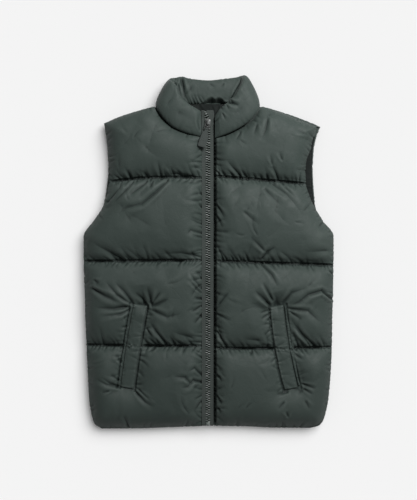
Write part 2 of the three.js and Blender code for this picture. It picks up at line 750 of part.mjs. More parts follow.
function buildZipSide(side) {
  const sign = signOf[side];
  const rowsOf = (inner, outer, clip) =>
    tapeRows[side]
      .map((row) => ({ ...row, y: Math.max(row.y, clip) }))
      .map((row) => {
        const edges = [zipCentreX + sign * inner(row), zipCentreX + sign * outer(row)];
        return { xLow: Math.min(...edges), xHigh: Math.max(...edges), y: row.y, z: row.z };
      });
  const tape = buildRibbon(
    `zip_tape_${side}`,
    rowsOf((row) => row.teeth, (row) => row.sewn, -380),
    tapeThick,
    tapeCloth,
  );
  const teeth = buildRibbon(
    `zip_teeth_${side}`,
    rowsOf((row) => row.teeth - seamGap - halfChainWidth, (row) => row.teeth - seamGap, -371.5),
    chainHeight,
    teethPlastic,
  );
  return [tape, teeth];
}

function buildZipBox() {
  const made = new THREE.Mesh(new THREE.BoxGeometry(9, 8, 5.4), teethPlastic);
  made.name = "zip_box";
  made.position.set(zipCentreX, -375.9, tapeMidZ);
  return made;
}

// Booleans on closed geometries.
function toSolid(geometry) {
  const bare = geometry.clone();
  bare.deleteAttribute("normal");
  bare.deleteAttribute("uv");
  const merged = mergeVertices(bare, 1e-4);
  return new wasm.Manifold(
    new wasm.Mesh({
      numProp: 3,
      vertProperties: new Float32Array(merged.attributes.position.array),
      triVerts: new Uint32Array(merged.index.array),
    }),
  );
}

function fromSolid(solid, name, material) {
  const mesh = solid.getMesh();
  const geometry = new THREE.BufferGeometry();
  geometry.setAttribute("position", new THREE.BufferAttribute(new Float32Array(mesh.vertProperties), 3));
  geometry.setIndex(new THREE.BufferAttribute(new Uint32Array(mesh.triVerts), 1));
  geometry.computeVertexNormals();
  const made = new THREE.Mesh(geometry, material);
  made.name = name;
  return made;
}

const box = (width, length, height, x, y, z) => new THREE.BoxGeometry(width, length, height).translate(x, y, z);

// The slider: two plates joined by a neck between the parting teeth, with a bridge for the ring.
function buildSlider() {
  const { length, width, plate, bridgeLength, bridgeWidth, bridgeRise } = slider;
  const outline = new THREE.Shape();
  outline.moveTo(-width * 0.33, -length / 2);
  outline.lineTo(width * 0.33, -length / 2);
  outline.lineTo(width / 2, length * 0.18);
  outline.quadraticCurveTo(width / 2, length / 2, width * 0.26, length / 2);
  outline.lineTo(-width * 0.26, length / 2);
  outline.quadraticCurveTo(-width / 2, length / 2, -width / 2, length * 0.18);
  outline.closePath();
  const half = chainHeight / 2 + 0.4;
  const plateAt = (z) => new THREE.ExtrudeGeometry(outline, { depth: plate, bevelEnabled: false, curveSegments: 5 }).translate(0, 0, z);
  const neck = box(2.4, 5, 2 * half + 0.2, 0, length / 2 - 3, 0);
  const arch = new THREE.Shape();
  arch.moveTo(-bridgeLength / 2, 0);
  arch.lineTo(bridgeLength / 2, 0);
  arch.lineTo(bridgeLength / 2, bridgeRise * 0.45);
  arch.quadraticCurveTo(bridgeLength / 2, bridgeRise, bridgeLength * 0.2, bridgeRise);
  arch.lineTo(-bridgeLength * 0.2, bridgeRise);
  arch.quadraticCurveTo(-bridgeLength / 2, bridgeRise, -bridgeLength / 2, bridgeRise * 0.45);
  arch.closePath();
  const bridge = new THREE.ExtrudeGeometry(arch, { depth: bridgeWidth, bevelEnabled: false, curveSegments: 5 })
    .rotateX(Math.PI / 2)
    .rotateZ(Math.PI / 2)
    .translate(-bridgeWidth / 2, 0, half + plate - 0.1);
  const hole = box(bridgeWidth + 2, bridgeLength - 3, bridgeRise - 1.3, 0, 0, half + plate + (bridgeRise - 1.3) / 2);
  const solid = toSolid(plateAt(half))
    .add(toSolid(plateAt(-half - plate)))
    .add(toSolid(neck))
    .add(toSolid(bridge))
    .subtract(toSolid(hole));
  const made = fromSolid(solid, "zip_slider", sliderMetal);
  made.position.set(zipCentreX, slider.y, tapeMidZ);
  return made;
}

// The wire ring that hangs in the slider's bridge, lying along -Y from its pivot.
function buildRing() {
  const { wire, innerWidth, length } = pullRing;
  const halfWidth = (innerWidth + wire) / 2;
  const corner = 2.2;
  const path = new THREE.CurvePath();
  const at = (x, y) => new THREE.Vector3(x, y, 0);
  const line = (x0, y0, x1, y1) => path.add(new THREE.LineCurve3(at(x0, y0), at(x1, y1)));
  const bend = (x0, y0, cx, cy, x1, y1) => path.add(new THREE.QuadraticBezierCurve3(at(x0, y0), at(cx, cy), at(x1, y1)));
  line(-halfWidth + corner, 0, halfWidth - corner, 0);
  bend(halfWidth - corner, 0, halfWidth, 0, halfWidth, -corner);
  line(halfWidth, -corner, halfWidth, -length + corner);
  bend(halfWidth, -length + corner, halfWidth, -length, halfWidth - corner, -length);
  line(halfWidth - corner, -length, -halfWidth + corner, -length);
  bend(-halfWidth + corner, -length, -halfWidth, -length, -halfWidth, -length + corner);
  line(-halfWidth, -length + corner, -halfWidth, -corner);
  bend(-halfWidth, -corner, -halfWidth, 0, -halfWidth + corner, 0);
  const surface = new Surface();
  const steps = 40;
  const sides = 8;
  const rings = Array.from({ length: steps }, (_, i) => {
    const p = path.getPoint(i / steps);
    const ahead = path.getPoint((i + 0.2) / steps).sub(path.getPoint((i + steps - 0.2) / steps % 1)).normalize();
    const across = new THREE.Vector3(0, 0, 1).cross(ahead);
    return Array.from({ length: sides }, (_unused, k) => {
      const angle = (2 * Math.PI * k) / sides;
      const q = p.clone().addScaledVector(across, (Math.cos(angle) * wire) / 2);
      return surface.point(q.x, q.y, q.z + (Math.sin(angle) * wire) / 2);
    });
  });
  rings.forEach((ring, i) => surface.band(ring, rings[(i + 1) % steps]));
  return surface.mesh("pull_ring", sliderMetal);
}

// The pull tab: an eye round the ring's lower bar and a flat tapered grip, lying along -Y from the eye.
function buildTab() {
  const { length, topWidth, endWidth, thick, headWidth } = pullTab;
  const outer = tabEye.bore + tabEye.wall;
  const disc = new THREE.CylinderGeometry(outer, outer, headWidth, 16).rotateZ(Math.PI / 2);
  const neck = box(headWidth, outer + 5, thick, 0, -(outer + 5) / 2, 0);
  const grip = new THREE.Shape();
  const start = -outer - 3;
  grip.moveTo(-headWidth / 2, start);
  grip.lineTo(-topWidth / 2, start - 3);
  grip.lineTo(-endWidth / 2, -length + 2);
  grip.quadraticCurveTo(-endWidth / 2, -length, -endWidth / 2 + 2, -length);
  grip.lineTo(endWidth / 2 - 2, -length);
  grip.quadraticCurveTo(endWidth / 2, -length, endWidth / 2, -length + 2);
  grip.lineTo(topWidth / 2, start - 3);
  grip.lineTo(headWidth / 2, start);
  grip.closePath();
  const plate = new THREE.ExtrudeGeometry(grip, { depth: thick, bevelEnabled: false, curveSegments: 4 }).translate(0, 0, -thick / 2);
  const hole = new THREE.CylinderGeometry(tabEye.bore, tabEye.bore, headWidth + 2, 16).rotateZ(Math.PI / 2);
  const solid = toSolid(disc).add(toSolid(neck)).add(toSolid(plate)).subtract(toSolid(hole));
  return fromSolid(solid, "pull_tab", tabRubber);
}

function buildPull() {
  const ring = buildRing();
  const tab = buildTab();
  tab.position.set(0, -pullRing.length, 0);
  tab.rotation.set(THREE.MathUtils.degToRad(-pullTab.lift), THREE.MathUtils.degToRad(pullTab.roll), 0);
  const hung = new THREE.Group();
  hung.add(ring, tab);
  hung.rotation.x = THREE.MathUtils.degToRad(-pullRing.lift);
  const turned = new THREE.Group();
  turned.add(hung);
  turned.rotation.z = THREE.MathUtils.degToRad(pullRing.yaw);
  turned.position.set(zipCentreX, slider.y - 1.5, pullRing.z);
  return turned;
}

// Facing strips inside the armholes, lying on the back panel beside the fronts' edges.
function buildArmholeFacing(side) {
  const sign = signOf[side];
  const rows = crowdedShares(22, 0).map((t) => {
    const y = mix(88, side === "right" ? 256 : 250, t);
    const out = readTable(backEdge[side], "y", "out", y) - 5.6;
    const edges = [sign * out, sign * (out - facingWidth)];
    return { xLow: Math.min(...edges), xHigh: Math.max(...edges), y, z: backTop + seamGap + facingThick / 2 };
  });
  return buildRibbon(`armhole_facing_${side}`, rows, facingThick, facingCloth);
}

// The half-moon facing inside the back of the neck.
function buildNeckFacing() {
  const shape = new THREE.Shape();
  shape.moveTo(-84, 308);
  shape.quadraticCurveTo(-64, 258, 0, 259);
  shape.quadraticCurveTo(64, 258, 84, 308);
  shape.lineTo(0, 311);
  shape.closePath();
  const geometry = new THREE.ExtrudeGeometry(shape, { depth: facingThick, bevelEnabled: false, curveSegments: 10 });
  const made = new THREE.Mesh(geometry, facingCloth);
  made.name = "neck_facing";
  made.position.z = backTop + seamGap;
  return made;
}

const vest = new THREE.Group();
vest.add(buildBack(), buildCollar(), buildNeckFacing());
for (const side of ["right", "left"]) {
  const front = buildFront(side);
  vest.add(front, ...buildPocket(side, front), ...buildZipSide(side), buildArmholeFacing(side));
}
vest.add(buildZipBox(), buildSlider(), buildPull());

// Puts the origin in the middle of the footprint.
const extent = new THREE.Box3().setFromObject(vest);
vest.position.set(-(extent.min.x + extent.max.x) / 2, -(extent.min.y + extent.max.y) / 2, -extent.min.z);

export default vest;
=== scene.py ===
import math

import bmesh
import bpy
import numpy as np
from mathutils import Matrix, Vector
from mathutils.bvhtree import BVHTree


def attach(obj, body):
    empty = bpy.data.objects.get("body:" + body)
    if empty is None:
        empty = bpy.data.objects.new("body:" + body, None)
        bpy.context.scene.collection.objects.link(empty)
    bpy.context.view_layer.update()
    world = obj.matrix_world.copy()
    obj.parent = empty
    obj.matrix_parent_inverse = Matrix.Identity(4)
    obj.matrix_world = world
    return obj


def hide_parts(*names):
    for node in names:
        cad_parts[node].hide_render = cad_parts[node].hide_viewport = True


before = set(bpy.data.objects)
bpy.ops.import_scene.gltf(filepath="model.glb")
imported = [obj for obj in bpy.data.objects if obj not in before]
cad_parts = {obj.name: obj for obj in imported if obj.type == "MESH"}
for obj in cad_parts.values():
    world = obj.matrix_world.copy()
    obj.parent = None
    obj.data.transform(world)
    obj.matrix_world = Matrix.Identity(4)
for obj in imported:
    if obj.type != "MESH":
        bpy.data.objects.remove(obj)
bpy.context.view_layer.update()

# tables are in millimetres, x from the vest's own centre line and y up from the middle of its length
mm = 0.001
originShift = 2.9935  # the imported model's origin is the middle of the footprint
sideSign = {"right": -1, "left": 1}  # the wearer's right is the image's left


# small helpers
def curveThrough(rows, at):
    # smooth curve with no overshoot through (x, y) rows
    x, y = np.array(sorted(rows), float).T
    step = np.diff(x)
    slope = np.diff(y) / step
    lean = np.empty_like(y)
    lean[0], lean[-1] = slope[0], slope[-1]
    both = slope[:-1] * slope[1:]
    total = slope[:-1] + slope[1:]
    lean[1:-1] = np.where(both > 0, 2 * both / np.where(both > 0, total, 1), 0)
    at = np.clip(at, x[0], x[-1])
    i = np.clip(np.searchsorted(x, at) - 1, 0, len(step) - 1)
    t = (at - x[i]) / step[i]
    return (
        y[i] * (2 * t**3 - 3 * t**2 + 1)
        + lean[i] * step[i] * (t**3 - 2 * t**2 + t)
        + y[i + 1] * (3 * t**2 - 2 * t**3)
        + lean[i + 1] * step[i] * (t**3 - t**2)
    )


def mix(a, b, t):
    return a + (b - a) * t


def smoothStep(t):
    t = np.clip(t, 0, 1)
    return t * t * (3 - 2 * t)


def rise(distance, reach, roundness):
    # 0 on a seam, 1 once reach is passed
    return 1 - (1 - np.clip(distance / reach, 0, 1)) ** roundness


def crowded(count, amount):
    # shares from 0 to 1 that crowd towards both ends
    t = np.linspace(0, 1, count)
    return mix(t, 0.5 - 0.5 * np.cos(np.pi * t), amount)


def waviness(seed, count, reach):
    # a smooth random line of about unit height
    rng = np.random.default_rng(seed)
    knots = rng.normal(0, 1, max(4, int(count / reach) + 3))
    at = np.linspace(0, len(knots) - 1.001, count)
    i = at.astype(int)
    t = at - i
    t = t * t * (3 - 2 * t)
    return knots[i] * (1 - t) + knots[i + 1] * t


def distanceToLine(points, line):
    # shortest distance in plan from each point to a polyline
    line = np.asarray(line, float)
    best = np.full(len(points), 1e9)
    for a, b in zip(line[:-1], line[1:]):
        way = b - a
        share = np.clip(((points - a) @ way) / max(way @ way, 1e-9), 0, 1)
        best = np.minimum(best, np.linalg.norm(points - a - share[:, None] * way, axis=1))
    return best


def unit(vectors):
    return vectors / np.maximum(np.linalg.norm(vectors, axis=-1, keepdims=True), 1e-9)


def turnedOutwards(mesh):
    # points every face of a closed mesh away from its inside
    work = bmesh.new()
    work.from_mesh(mesh)
    bmesh.ops.recalc_face_normals(work, faces=work.faces)
    work.to_mesh(mesh)
    work.free()
    return mesh


def inMetres(points):
    # from the vest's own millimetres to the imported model's frame
    placed = np.array(points, float) * mm
    placed[:, 1] += originShift * mm
    return placed.tolist()


def inScene(name, data):
    made = bpy.data.objects.new(name, data)
    bpy.context.scene.collection.objects.link(made)
    return made


def meshObject(name, points, faces, mend=False):
    # a mesh object from points in millimetres; mend turns every face of a closed shell outwards
    mesh = bpy.data.meshes.new(name)
    mesh.from_pydata(inMetres(points), [], [[int(i) for i in face] for face in faces])
    if mend:
        turnedOutwards(mesh)
    mesh.validate()
    mesh.update()
    mesh.shade_smooth()
    return inScene(name, mesh)


def dress(piece, body, nodes, material):
    # fixes a finished piece to its body, its CAD nodes and its material
    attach(piece, body)
    if nodes:
        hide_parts(*nodes)
    if material:
        piece.data.materials.clear()
        piece.data.materials.append(material)
    print(piece.name, "has", len(piece.data.polygons), "faces")
    return piece


def gridFaces(rows, columns, flip=False, first=0, wrap=False):
    across = columns if wrap else columns - 1
    faces = []
    for r in range(rows - 1):
        for c in range(across):
            d = (c + 1) % columns
            quad = [r * columns + c, r * columns + d, (r + 1) * columns + d, (r + 1) * columns + c]
            faces.append([first + k for k in (reversed(quad) if flip else quad)])
    return faces


def tubeFaces(rings, sides, flip=False):
    # a tube with flat ends
    ends = [list(range(sides)), list(range((rings - 1) * sides, rings * sides))]
    return gridFaces(rings, sides, flip, 0, True) + ends


def loopFaces(rings, sides):
    # a tube that closes on itself
    faces = []
    for r in range(rings):
        for c in range(sides):
            here, there = r * sides, (r + 1) % rings * sides
            d = (c + 1) % sides
            faces.append([here + c, here + d, there + d, there + c])
    return faces


def finerGrid(grid, times):
    # cubic upsampling of a (rows, columns, n) grid, so that simulated cloth stays smooth
    def along(values, axis):
        values = np.moveaxis(values, axis, 0)
        count = len(values)
        at = np.linspace(0, count - 1, (count - 1) * times + 1)
        i = np.minimum(at.astype(int), count - 2)
        t = (at - i).reshape(-1, *([1] * (values.ndim - 1)))
        here, there = values[i], values[i + 1]
        atStart, atEnd = (i == 0).reshape(t.shape), (i == count - 2).reshape(t.shape)
        before = np.where(atStart, 2 * here - there, values[np.maximum(i - 1, 0)])
        after = np.where(atEnd, 2 * there - here, values[np.minimum(i + 2, count - 1)])
        fine = 0.5 * (
            2 * here
            + (there - before) * t
            + (2 * before - 5 * here + 4 * there - after) * t**2
            + (3 * here - before - 3 * there + after) * t**3
        )
        return np.moveaxis(fine, 0, axis)

    return along(along(grid, 0), 1)


def gridNormals(grid, up):
    # normals of an open grid; up is 1 for a face that looks up and -1 for one that looks down
    normal = unit(np.cross(np.gradient(grid, axis=1), np.gradient(grid, axis=0)))
    return -normal if normal[..., 2].mean() * up < 0 else normal


def ridges(grid, normals, wrap=False, full=0.35):
    # 1 along a ridge of the cloth, -1 along a trough and 0 where it is even
    total = np.zeros(grid.shape[:2])
    for reach in (2, 5):
        rows = np.arange(grid.shape[0])
        columns = np.arange(grid.shape[1])
        last = len(columns) - 1
        up, down = grid[np.minimum(rows + reach, rows[-1])], grid[np.maximum(rows - reach, 0)]
        if wrap:
            left, right = np.roll(grid, reach, 1), np.roll(grid, -reach, 1)
        else:
            left, right = grid[:, np.maximum(columns - reach, 0)], grid[:, np.minimum(columns + reach, last)]
        off = np.sum(((up + down + left + right) / 4 - grid) * normals, axis=2)
        total -= off / (full * reach / 2)
    return np.tanh(total / 2)


def markRidges(piece, values):
    # keeps the ridges as an attribute that the cloth materials read: paler ridges for wear and painted sheen,
    # darker troughs for painted shade
    spread = np.zeros(len(piece.data.vertices), np.float32)
    flat = np.asarray(values, np.float32).ravel()
    spread[:len(flat)] = flat
    piece.data.attributes.new("ridge", "FLOAT", "POINT").data.foreach_set("value", spread)


def rimOf(index):
    # the border of a grid of indices, once round
    return np.concatenate([index[0, :-1], index[:-1, -1], index[-1, :0:-1], index[:0:-1, 0]])


def closedPanel(name, outer, skirt, facing):
    # outer: the shaped face of a panel; skirt: (inset, z) steps from its rim to the plain inside
    rows, columns = outer.shape[:2]
    rim = rimOf(np.arange(rows * columns).reshape(rows, columns))
    points = [outer.reshape(-1, 3)]
    edge = outer.reshape(-1, 3)[rim]
    plan = edge[:, :2]
    signed = np.sum(plan[:, 0] * np.roll(plan[:, 1], -1) - np.roll(plan[:, 0], -1) * plan[:, 1])
    turned = signed < 0
    soft = plan.copy()
    for _ in range(6):
        soft = (np.roll(soft, 1, 0) + soft * 2 + np.roll(soft, -1, 0)) / 4
    way = np.roll(soft, -3, 0) - np.roll(soft, 3, 0)
    inward = unit(np.stack([-way[:, 1], way[:, 0]], -1) * (-1 if turned else 1))
    faces = gridFaces(rows, columns, (facing < 0) != turned)
    ring = rim
    first = rows * columns
    for inset, z in skirt:
        amount = inset(edge) if callable(inset) else np.full(len(edge), float(inset))
        points.append(np.column_stack([plan + inward * amount[:, None], np.full(len(edge), z)]))
        nextRing = np.arange(first, first + len(rim))
        for k in range(len(rim)):
            m = (k + 1) % len(rim)
            quad = [ring[m], ring[k], nextRing[k], nextRing[m]]
            faces.append(quad if (facing > 0) != turned else quad[::-1])
        ring = nextRing
        first += len(rim)
    cap = list(ring)
    faces.append(cap[::-1] if (facing > 0) != turned else cap)
    return meshObject(name, np.vstack(points), faces)


def shellFaces(rows, columns):
    # faces of a closed shell between two grids of that size
    count = rows * columns
    faces = gridFaces(rows, columns) + gridFaces(rows, columns, True, count)
    rim = rimOf(np.arange(count).reshape(rows, columns))
    for k, here in enumerate(rim):
        there = rim[(k + 1) % len(rim)]
        faces.append([here, here + count, there + count, there])
    return faces


def closedShell(name, top, bottom):
    # a thin closed piece between two grids of the same size
    points = np.vstack([top.reshape(-1, 3), bottom.reshape(-1, 3)])
    return meshObject(name, points, shellFaces(*top.shape[:2]), mend=True)


# the cut of the vest: rows are (y, distance out from the centre) unless a note says otherwise
backEdge = {
    "right": [(-386, 233), (-381, 245), (-372, 251.5), (-350, 257), (-320, 261), (-240, 265), (-100, 270.5),
              (0, 272.8), (34, 272.8), (48, 266), (62, 255), (88, 237.6), (101, 231), (141, 224),
              (180, 220.5), (220, 222), (260, 226.5), (282, 229.5)],
    "left": [(-386, 222), (-381, 240), (-372, 249), (-350, 256.5), (-320, 262), (-240, 268), (-100, 271.5),
             (0, 272.8), (34, 272.8), (48, 266), (62, 253), (88, 238), (114, 233), (141, 230.5), (175, 229),
             (220, 231), (250, 236.5), (273, 246)],
}
frontArmhole = {
    "right": [(62, 254), (88, 235.5), (101, 228), (141, 219.5), (180, 216.5), (220, 219), (260, 225),
              (280, 228.5)],
    "left": [(62, 252.5), (88, 236), (102, 228.5), (124, 219), (141, 213.5), (171, 211.5), (195, 213),
             (210, 218), (224, 224), (248, 230), (272, 236)],
}
# rows of (x, y)
hemLine = [(-234, -387.5), (-150, -387), (-80, -384.5), (0, -382), (80, -382.5), (150, -385.5), (222, -386)]
# each quilting line of the fronts: its height at the zip, in the middle and at the outer edge
quilting = {
    "right": [(-206.5, -206.5, -204.5), (-20, -21.5, -22), (159, 160, 151)],
    "left": [(-211, -211.5, -209), (-21.5, -26, -30.5), (163.5, 155.5, 147)],
}
backQuilting = [-205, -24, 154]
# rows of (distance out from the centre, y)
neckSeam = {
    "right": [(14.3, 246.5), (44, 253.5), (73, 265), (99, 285), (112, 301), (120, 316)],
    "left": [(12.3, 243.5), (37, 250), (62, 261.5), (84, 274.5), (103, 292), (118, 316)],
}
shoulderLine = {
    "right": [(120, 314), (150, 307), (185, 296.5), (228.5, 278.5)],
    "left": [(118, 314), (150, 305), (185, 291.5), (236, 270)],
}
backTop = [(-229.5, 280.5), (-185, 299), (-150, 309.5), (-120, 316.5), (0, 320.5), (118, 316.5), (150, 308.5),
           (185, 297), (215, 286.5), (246, 272.5)]
neckShare = 0.52  # part of a front's top edge that lies on the neck seam
welts = {
    "right": {"topX": -148.2, "topY": -117, "lean": -9, "length": 183, "width": 31},
    "left": {"topX": 147.5, "topY": -119.5, "lean": 10, "length": 183, "width": 31},
}
levels = {"quilt": 27, "free": 26, "zip": 33, "neck": 32, "crest": 52.5, "weltBed": 33.5}


def outerEdge(side, y):
    below = curveThrough(backEdge[side], y) - np.clip((y - 32) / 30, 0, 1)
    return np.where(y < 62, below, curveThrough(frontArmhole[side], y))


def frontRow(side, row, u):
    # height of a quilting line (or the hem) of one front
    if row == 0:
        return curveThrough(hemLine, sideSign[side] * mix(neckSeam[side][0][0], 234, u))
    atZip, atMiddle, atEdge = quilting[side][row - 1]
    return mix(atZip, atEdge, u) + (atMiddle - (atZip + atEdge) / 2) * 4 * u * (1 - u)


def frontTopEdge(side, u):
    inner, outer = neckSeam[side], shoulderLine[side]
    onNeck = u <= neckShare
    out = np.where(onNeck, mix(inner[0][0], inner[-1][0], u / neckShare),
                   mix(outer[0][0], outer[-1][0], (u - neckShare) / (1 - neckShare)))
    y = np.where(onNeck, curveThrough(inner, out), curveThrough(outer, out))
    return np.stack([sideSign[side] * out, y], -1)


def quiltedPlan(rowAt, edgeA, edgeB, topEdge, u, v):
    # plan of a panel: u runs across it, v counts baffles up from the hem
    def lowRows(row, share, across):
        yA = mix(rowAt(row, np.zeros(1)), rowAt(row + 1, np.zeros(1)), share)
        yB = mix(rowAt(row, np.ones(1)), rowAt(row + 1, np.ones(1)), share)
        y = mix(rowAt(row, across), rowAt(row + 1, across), share)
        return np.stack([mix(edgeA(yA), edgeB(yB), across), y], -1)

    grid = np.empty((len(v), len(u), 2))
    top = topEdge(u)
    seam = lowRows(2, 1.0, u)
    for r, level in enumerate(v):
        if level <= 3:
            row = min(int(level), 2)
            grid[r] = lowRows(row, level - row, u)
            continue
        w = level - 3
        yA, yB = mix(seam[0, 1], top[0, 1], w), mix(seam[-1, 1], top[-1, 1], w)
        sideA = np.array([edgeA(np.array([yA]))[0], yA])
        sideB = np.array([edgeB(np.array([yB]))[0], yB])
        if w >= 1:
            sideA, sideB = top[0], top[-1]
        flat = u[:, None]
        corners = mix(mix(seam[0], top[0], w), mix(seam[-1], top[-1], w), flat)
        grid[r] = mix(seam, top, w) + mix(sideA, sideB, flat) - corners
    return grid


def frontPlan(side, u, v):
    sign = sideSign[side]
    zipX = sign * neckSeam[side][0][0]
    return quiltedPlan(
        lambda row, across: frontRow(side, row, across),
        lambda y: np.full(np.shape(y), zipX),
        lambda y: sign * outerEdge(side, y),
        lambda across: frontTopEdge(side, across),
        u, v,
    )


def frontLine(side, row, across):
    # the hem, a quilting line or the top seam of one front, counted from the hem
    return frontPlan(side, across, np.array([float(row)]))[0]


def backTopEdge(u):
    x = mix(backTop[0][0], backTop[-1][0], u)
    return np.stack([x, curveThrough(backTop, x)], -1)


def backPlan(u, v):
    def rowAt(row, across):
        if row == 0:
            return curveThrough(hemLine, mix(-233, 222, across))
        return np.full(np.shape(across), float(backQuilting[row - 1]))

    return quiltedPlan(
        rowAt,
        lambda y: -curveThrough(backEdge["right"], y),
        lambda y: curveThrough(backEdge["left"], y),
        backTopEdge,
        u, v,
    )


def backLine(row, across):
    return backPlan(across, np.array([float(row)]))[0]


def weltFrame(side):
    # the welt's top middle, the way down along it and the way across it towards the side seam
    spec = welts[side]
    angle = math.radians(spec["lean"])
    down = np.array([math.sin(angle), -math.cos(angle)])
    return np.array([spec["topX"], spec["topY"]]), down, np.array([-down[1], down[0]]) * sideSign[side]


def distanceToWelt(side, points):
    top, down, over = weltFrame(side)
    along, aside = (points - top) @ down, (points - top) @ over
    past = np.maximum(np.maximum(-along, along - welts[side]["length"]), 0)
    return np.hypot(past, np.maximum(np.abs(aside) - welts[side]["width"] / 2, 0))


def baffleRows(perBaffle, amount=0.35):
    shares = crowded(perBaffle + 1, amount)
    return np.concatenate([shares + k if k == 0 else shares[1:] + k for k in range(4)])


def frontSurface(side, plan):
    # resting height of a front before its cloth is inflated
    points = plan.reshape(-1, 2)
    across = np.linspace(0, 1, 33)
    edge = frontPlan(side, np.array([0.0, 1.0]), np.linspace(0, 4, 97))
    free = np.minimum(distanceToLine(points, frontLine(side, 0, across)), distanceToLine(points, edge[:, 1]))
    free = np.minimum(free, distanceToLine(points, frontTopEdge(side, np.linspace(neckShare, 1, 12))))
    neck = distanceToLine(points, frontTopEdge(side, np.linspace(0, neckShare, 16)))
    toZip = distanceToLine(points, edge[:, 0])
    quilt = np.full(len(points), 1e9)
    for row in (1, 2, 3):
        quilt = np.minimum(quilt, distanceToLine(points, frontLine(side, row, across)))
    full = rise(free, 46, 2.4) * rise(toZip, 34, 2.4) * rise(neck, 38, 2.4) * rise(quilt, 62, 2.6)
    held = (
        levels["free"]
        + (levels["quilt"] - levels["free"]) * rise(free, 20, 2)
        + (levels["zip"] - levels["quilt"]) * np.exp(-toZip / 24)
        + (levels["neck"] - levels["quilt"]) * np.exp(-neck / 24)
    )
    puffed = held + (levels["crest"] - held) * full
    toWelt = distanceToWelt(side, points)
    bed = mix(levels["weltBed"], puffed, rise(toWelt, 46, 2.2))
    level = np.where(puffed < bed, mix(bed, puffed, smoothStep(toWelt / 14)), bed)
    return level.reshape(plan.shape[:2]), toWelt.reshape(plan.shape[:2])


def inflate(name, start, rest, pinned, settings):
    # blows up a sheet of cloth whose cut is larger than the space between its seams
    rows, columns = start.shape[:2]
    sheet = meshObject(name, start.reshape(-1, 3), gridFaces(rows, columns, settings["faceDown"]))
    frames = settings["frames"]
    sheet.shape_key_add(name="start")
    cut = sheet.shape_key_add(name="cut")
    flat = rest.reshape(-1, 3) * mm
    cut.data.foreach_set("co", flat.ravel())
    group = sheet.vertex_groups.new(name="sewn")
    group.add([int(i) for i in np.flatnonzero(pinned.ravel())], 1.0, "REPLACE")
    puff = sheet.modifiers.new("puff", "CLOTH")
    cloth = puff.settings
    cloth.quality = settings["quality"]
    cloth.mass = 0.2
    cloth.tension_stiffness = settings["stiff"]
    cloth.compression_stiffness = settings["stiff"]
    cloth.shear_stiffness = settings["shear"]
    cloth.bending_stiffness = settings["bending"]
    cloth.tension_damping = 10
    cloth.compression_damping = 10
    cloth.shear_damping = 10
    cloth.air_damping = 2
    cloth.vertex_group_mass = "sewn"
    cloth.pin_stiffness = 1
    cloth.rest_shape_key = cut
    cloth.use_pressure = True
    cloth.uniform_pressure_force = settings["pressure"]
    cloth.effector_weights.gravity = 0
    puff.collision_settings.use_collision = False
    puff.point_cache.frame_start = 1
    puff.point_cache.frame_end = frames + 1
    for number in range(1, frames + 1):
        bpy.context.scene.frame_set(number)
    shown = sheet.evaluated_get(bpy.context.evaluated_depsgraph_get())
    flat = np.empty(rows * columns * 3)
    shown.data.vertices.foreach_get("co", flat)
    result = flat.reshape(rows, columns, 3) / mm
    result[..., 1] -= originShift
    bpy.context.scene.frame_set(1)
    mesh = sheet.data
    bpy.data.objects.remove(sheet)
    bpy.data.meshes.remove(mesh)
    moved = result - start
    far = np.linalg.norm(moved, axis=2, keepdims=True)
    return start + moved * np.minimum(1, settings["cap"] / np.maximum(far, 1e-6))


def calmed(grid, pinned, times, strength=0.5):
    # takes the jitter out of simulated cloth
    for _ in range(times):
        near = grid.copy()
        near[1:-1] = (grid[:-2] + grid[2:]) / 2
        wide = grid.copy()
        wide[:, 1:-1] = (grid[:, :-2] + grid[:, 2:]) / 2
        grid = np.where(pinned[..., None], grid, mix(grid, (near + wide) / 2, strength))
    return grid


# the shape across a fold: a trough, a lip on one side and a soft shoulder on the other
foldShape = {
    "lip": 0.42, "lipAt": 2.0, "lipWide": 1.2, "shoulder": 0.18, "shoulderAt": -2.2, "shoulderWide": 1.3,
    "sharp": 1.15, "widens": 1.0,
}


def pressed(points, normals, plan, folds, even=False):
    # presses folds into points, each of them (line in plan, width, depth)
    # a fold is deep and narrow where it starts and fades to its end, unless it is even
    # a width under 0 puts its lip on the other side
    push = np.zeros(len(points))
    for line, wide, deep in folds:
        line = np.asarray(line, float)
        low, high = line.min(0) - abs(wide) * 5, line.max(0) + abs(wide) * 5
        near = np.flatnonzero(np.all((plan > low) & (plan < high), axis=1))
        if not len(near):
            continue
        spot = plan[near]
        away = np.full(len(near), 1e9)
        signed = np.zeros(len(near))
        share = np.zeros(len(near))
        lengths = np.linalg.norm(np.diff(line, axis=0), axis=1)
        gone = 0.0
        for start, end, long in zip(line[:-1], line[1:], lengths):
            way = (end - start) / max(long, 1e-9)
            off = spot - start
            along = off @ way
            t = np.clip(along, 0, long)
            far = np.linalg.norm(off - t[:, None] * way, axis=1)
            cross = way[0] * off[:, 1] - way[1] * off[:, 0]
            closer = far < away
            share = np.where(closer, (gone + t) / lengths.sum(), share)
            signed = np.where(closer, far * np.where(cross < 0, -1, 1), signed)
            away = np.where(closer, far, away)
            gone += long
        shape = foldShape
        s = signed / (wide if even else wide * (0.8 + shape["widens"] * share))
        profile = (
            -np.exp(-np.abs(s) ** shape["sharp"])
            + shape["lip"] * np.exp(-(((s - shape["lipAt"]) / shape["lipWide"]) ** 2))
            + shape["shoulder"] * np.exp(-(((s - shape["shoulderAt"]) / shape["shoulderWide"]) ** 2))
        )
        taper = 1 if even else np.minimum(1, share * 5 + 0.55) * (1 - share**1.6)
        push[near] += taper * deep * profile
    return points + normals * push[:, None]


def creased(grid, folds, up=1, even=False):
    points = grid.reshape(-1, 3)
    normals = gridNormals(grid, up).reshape(-1, 3)
    return pressed(points, normals, points[:, :2], folds, even).reshape(grid.shape)


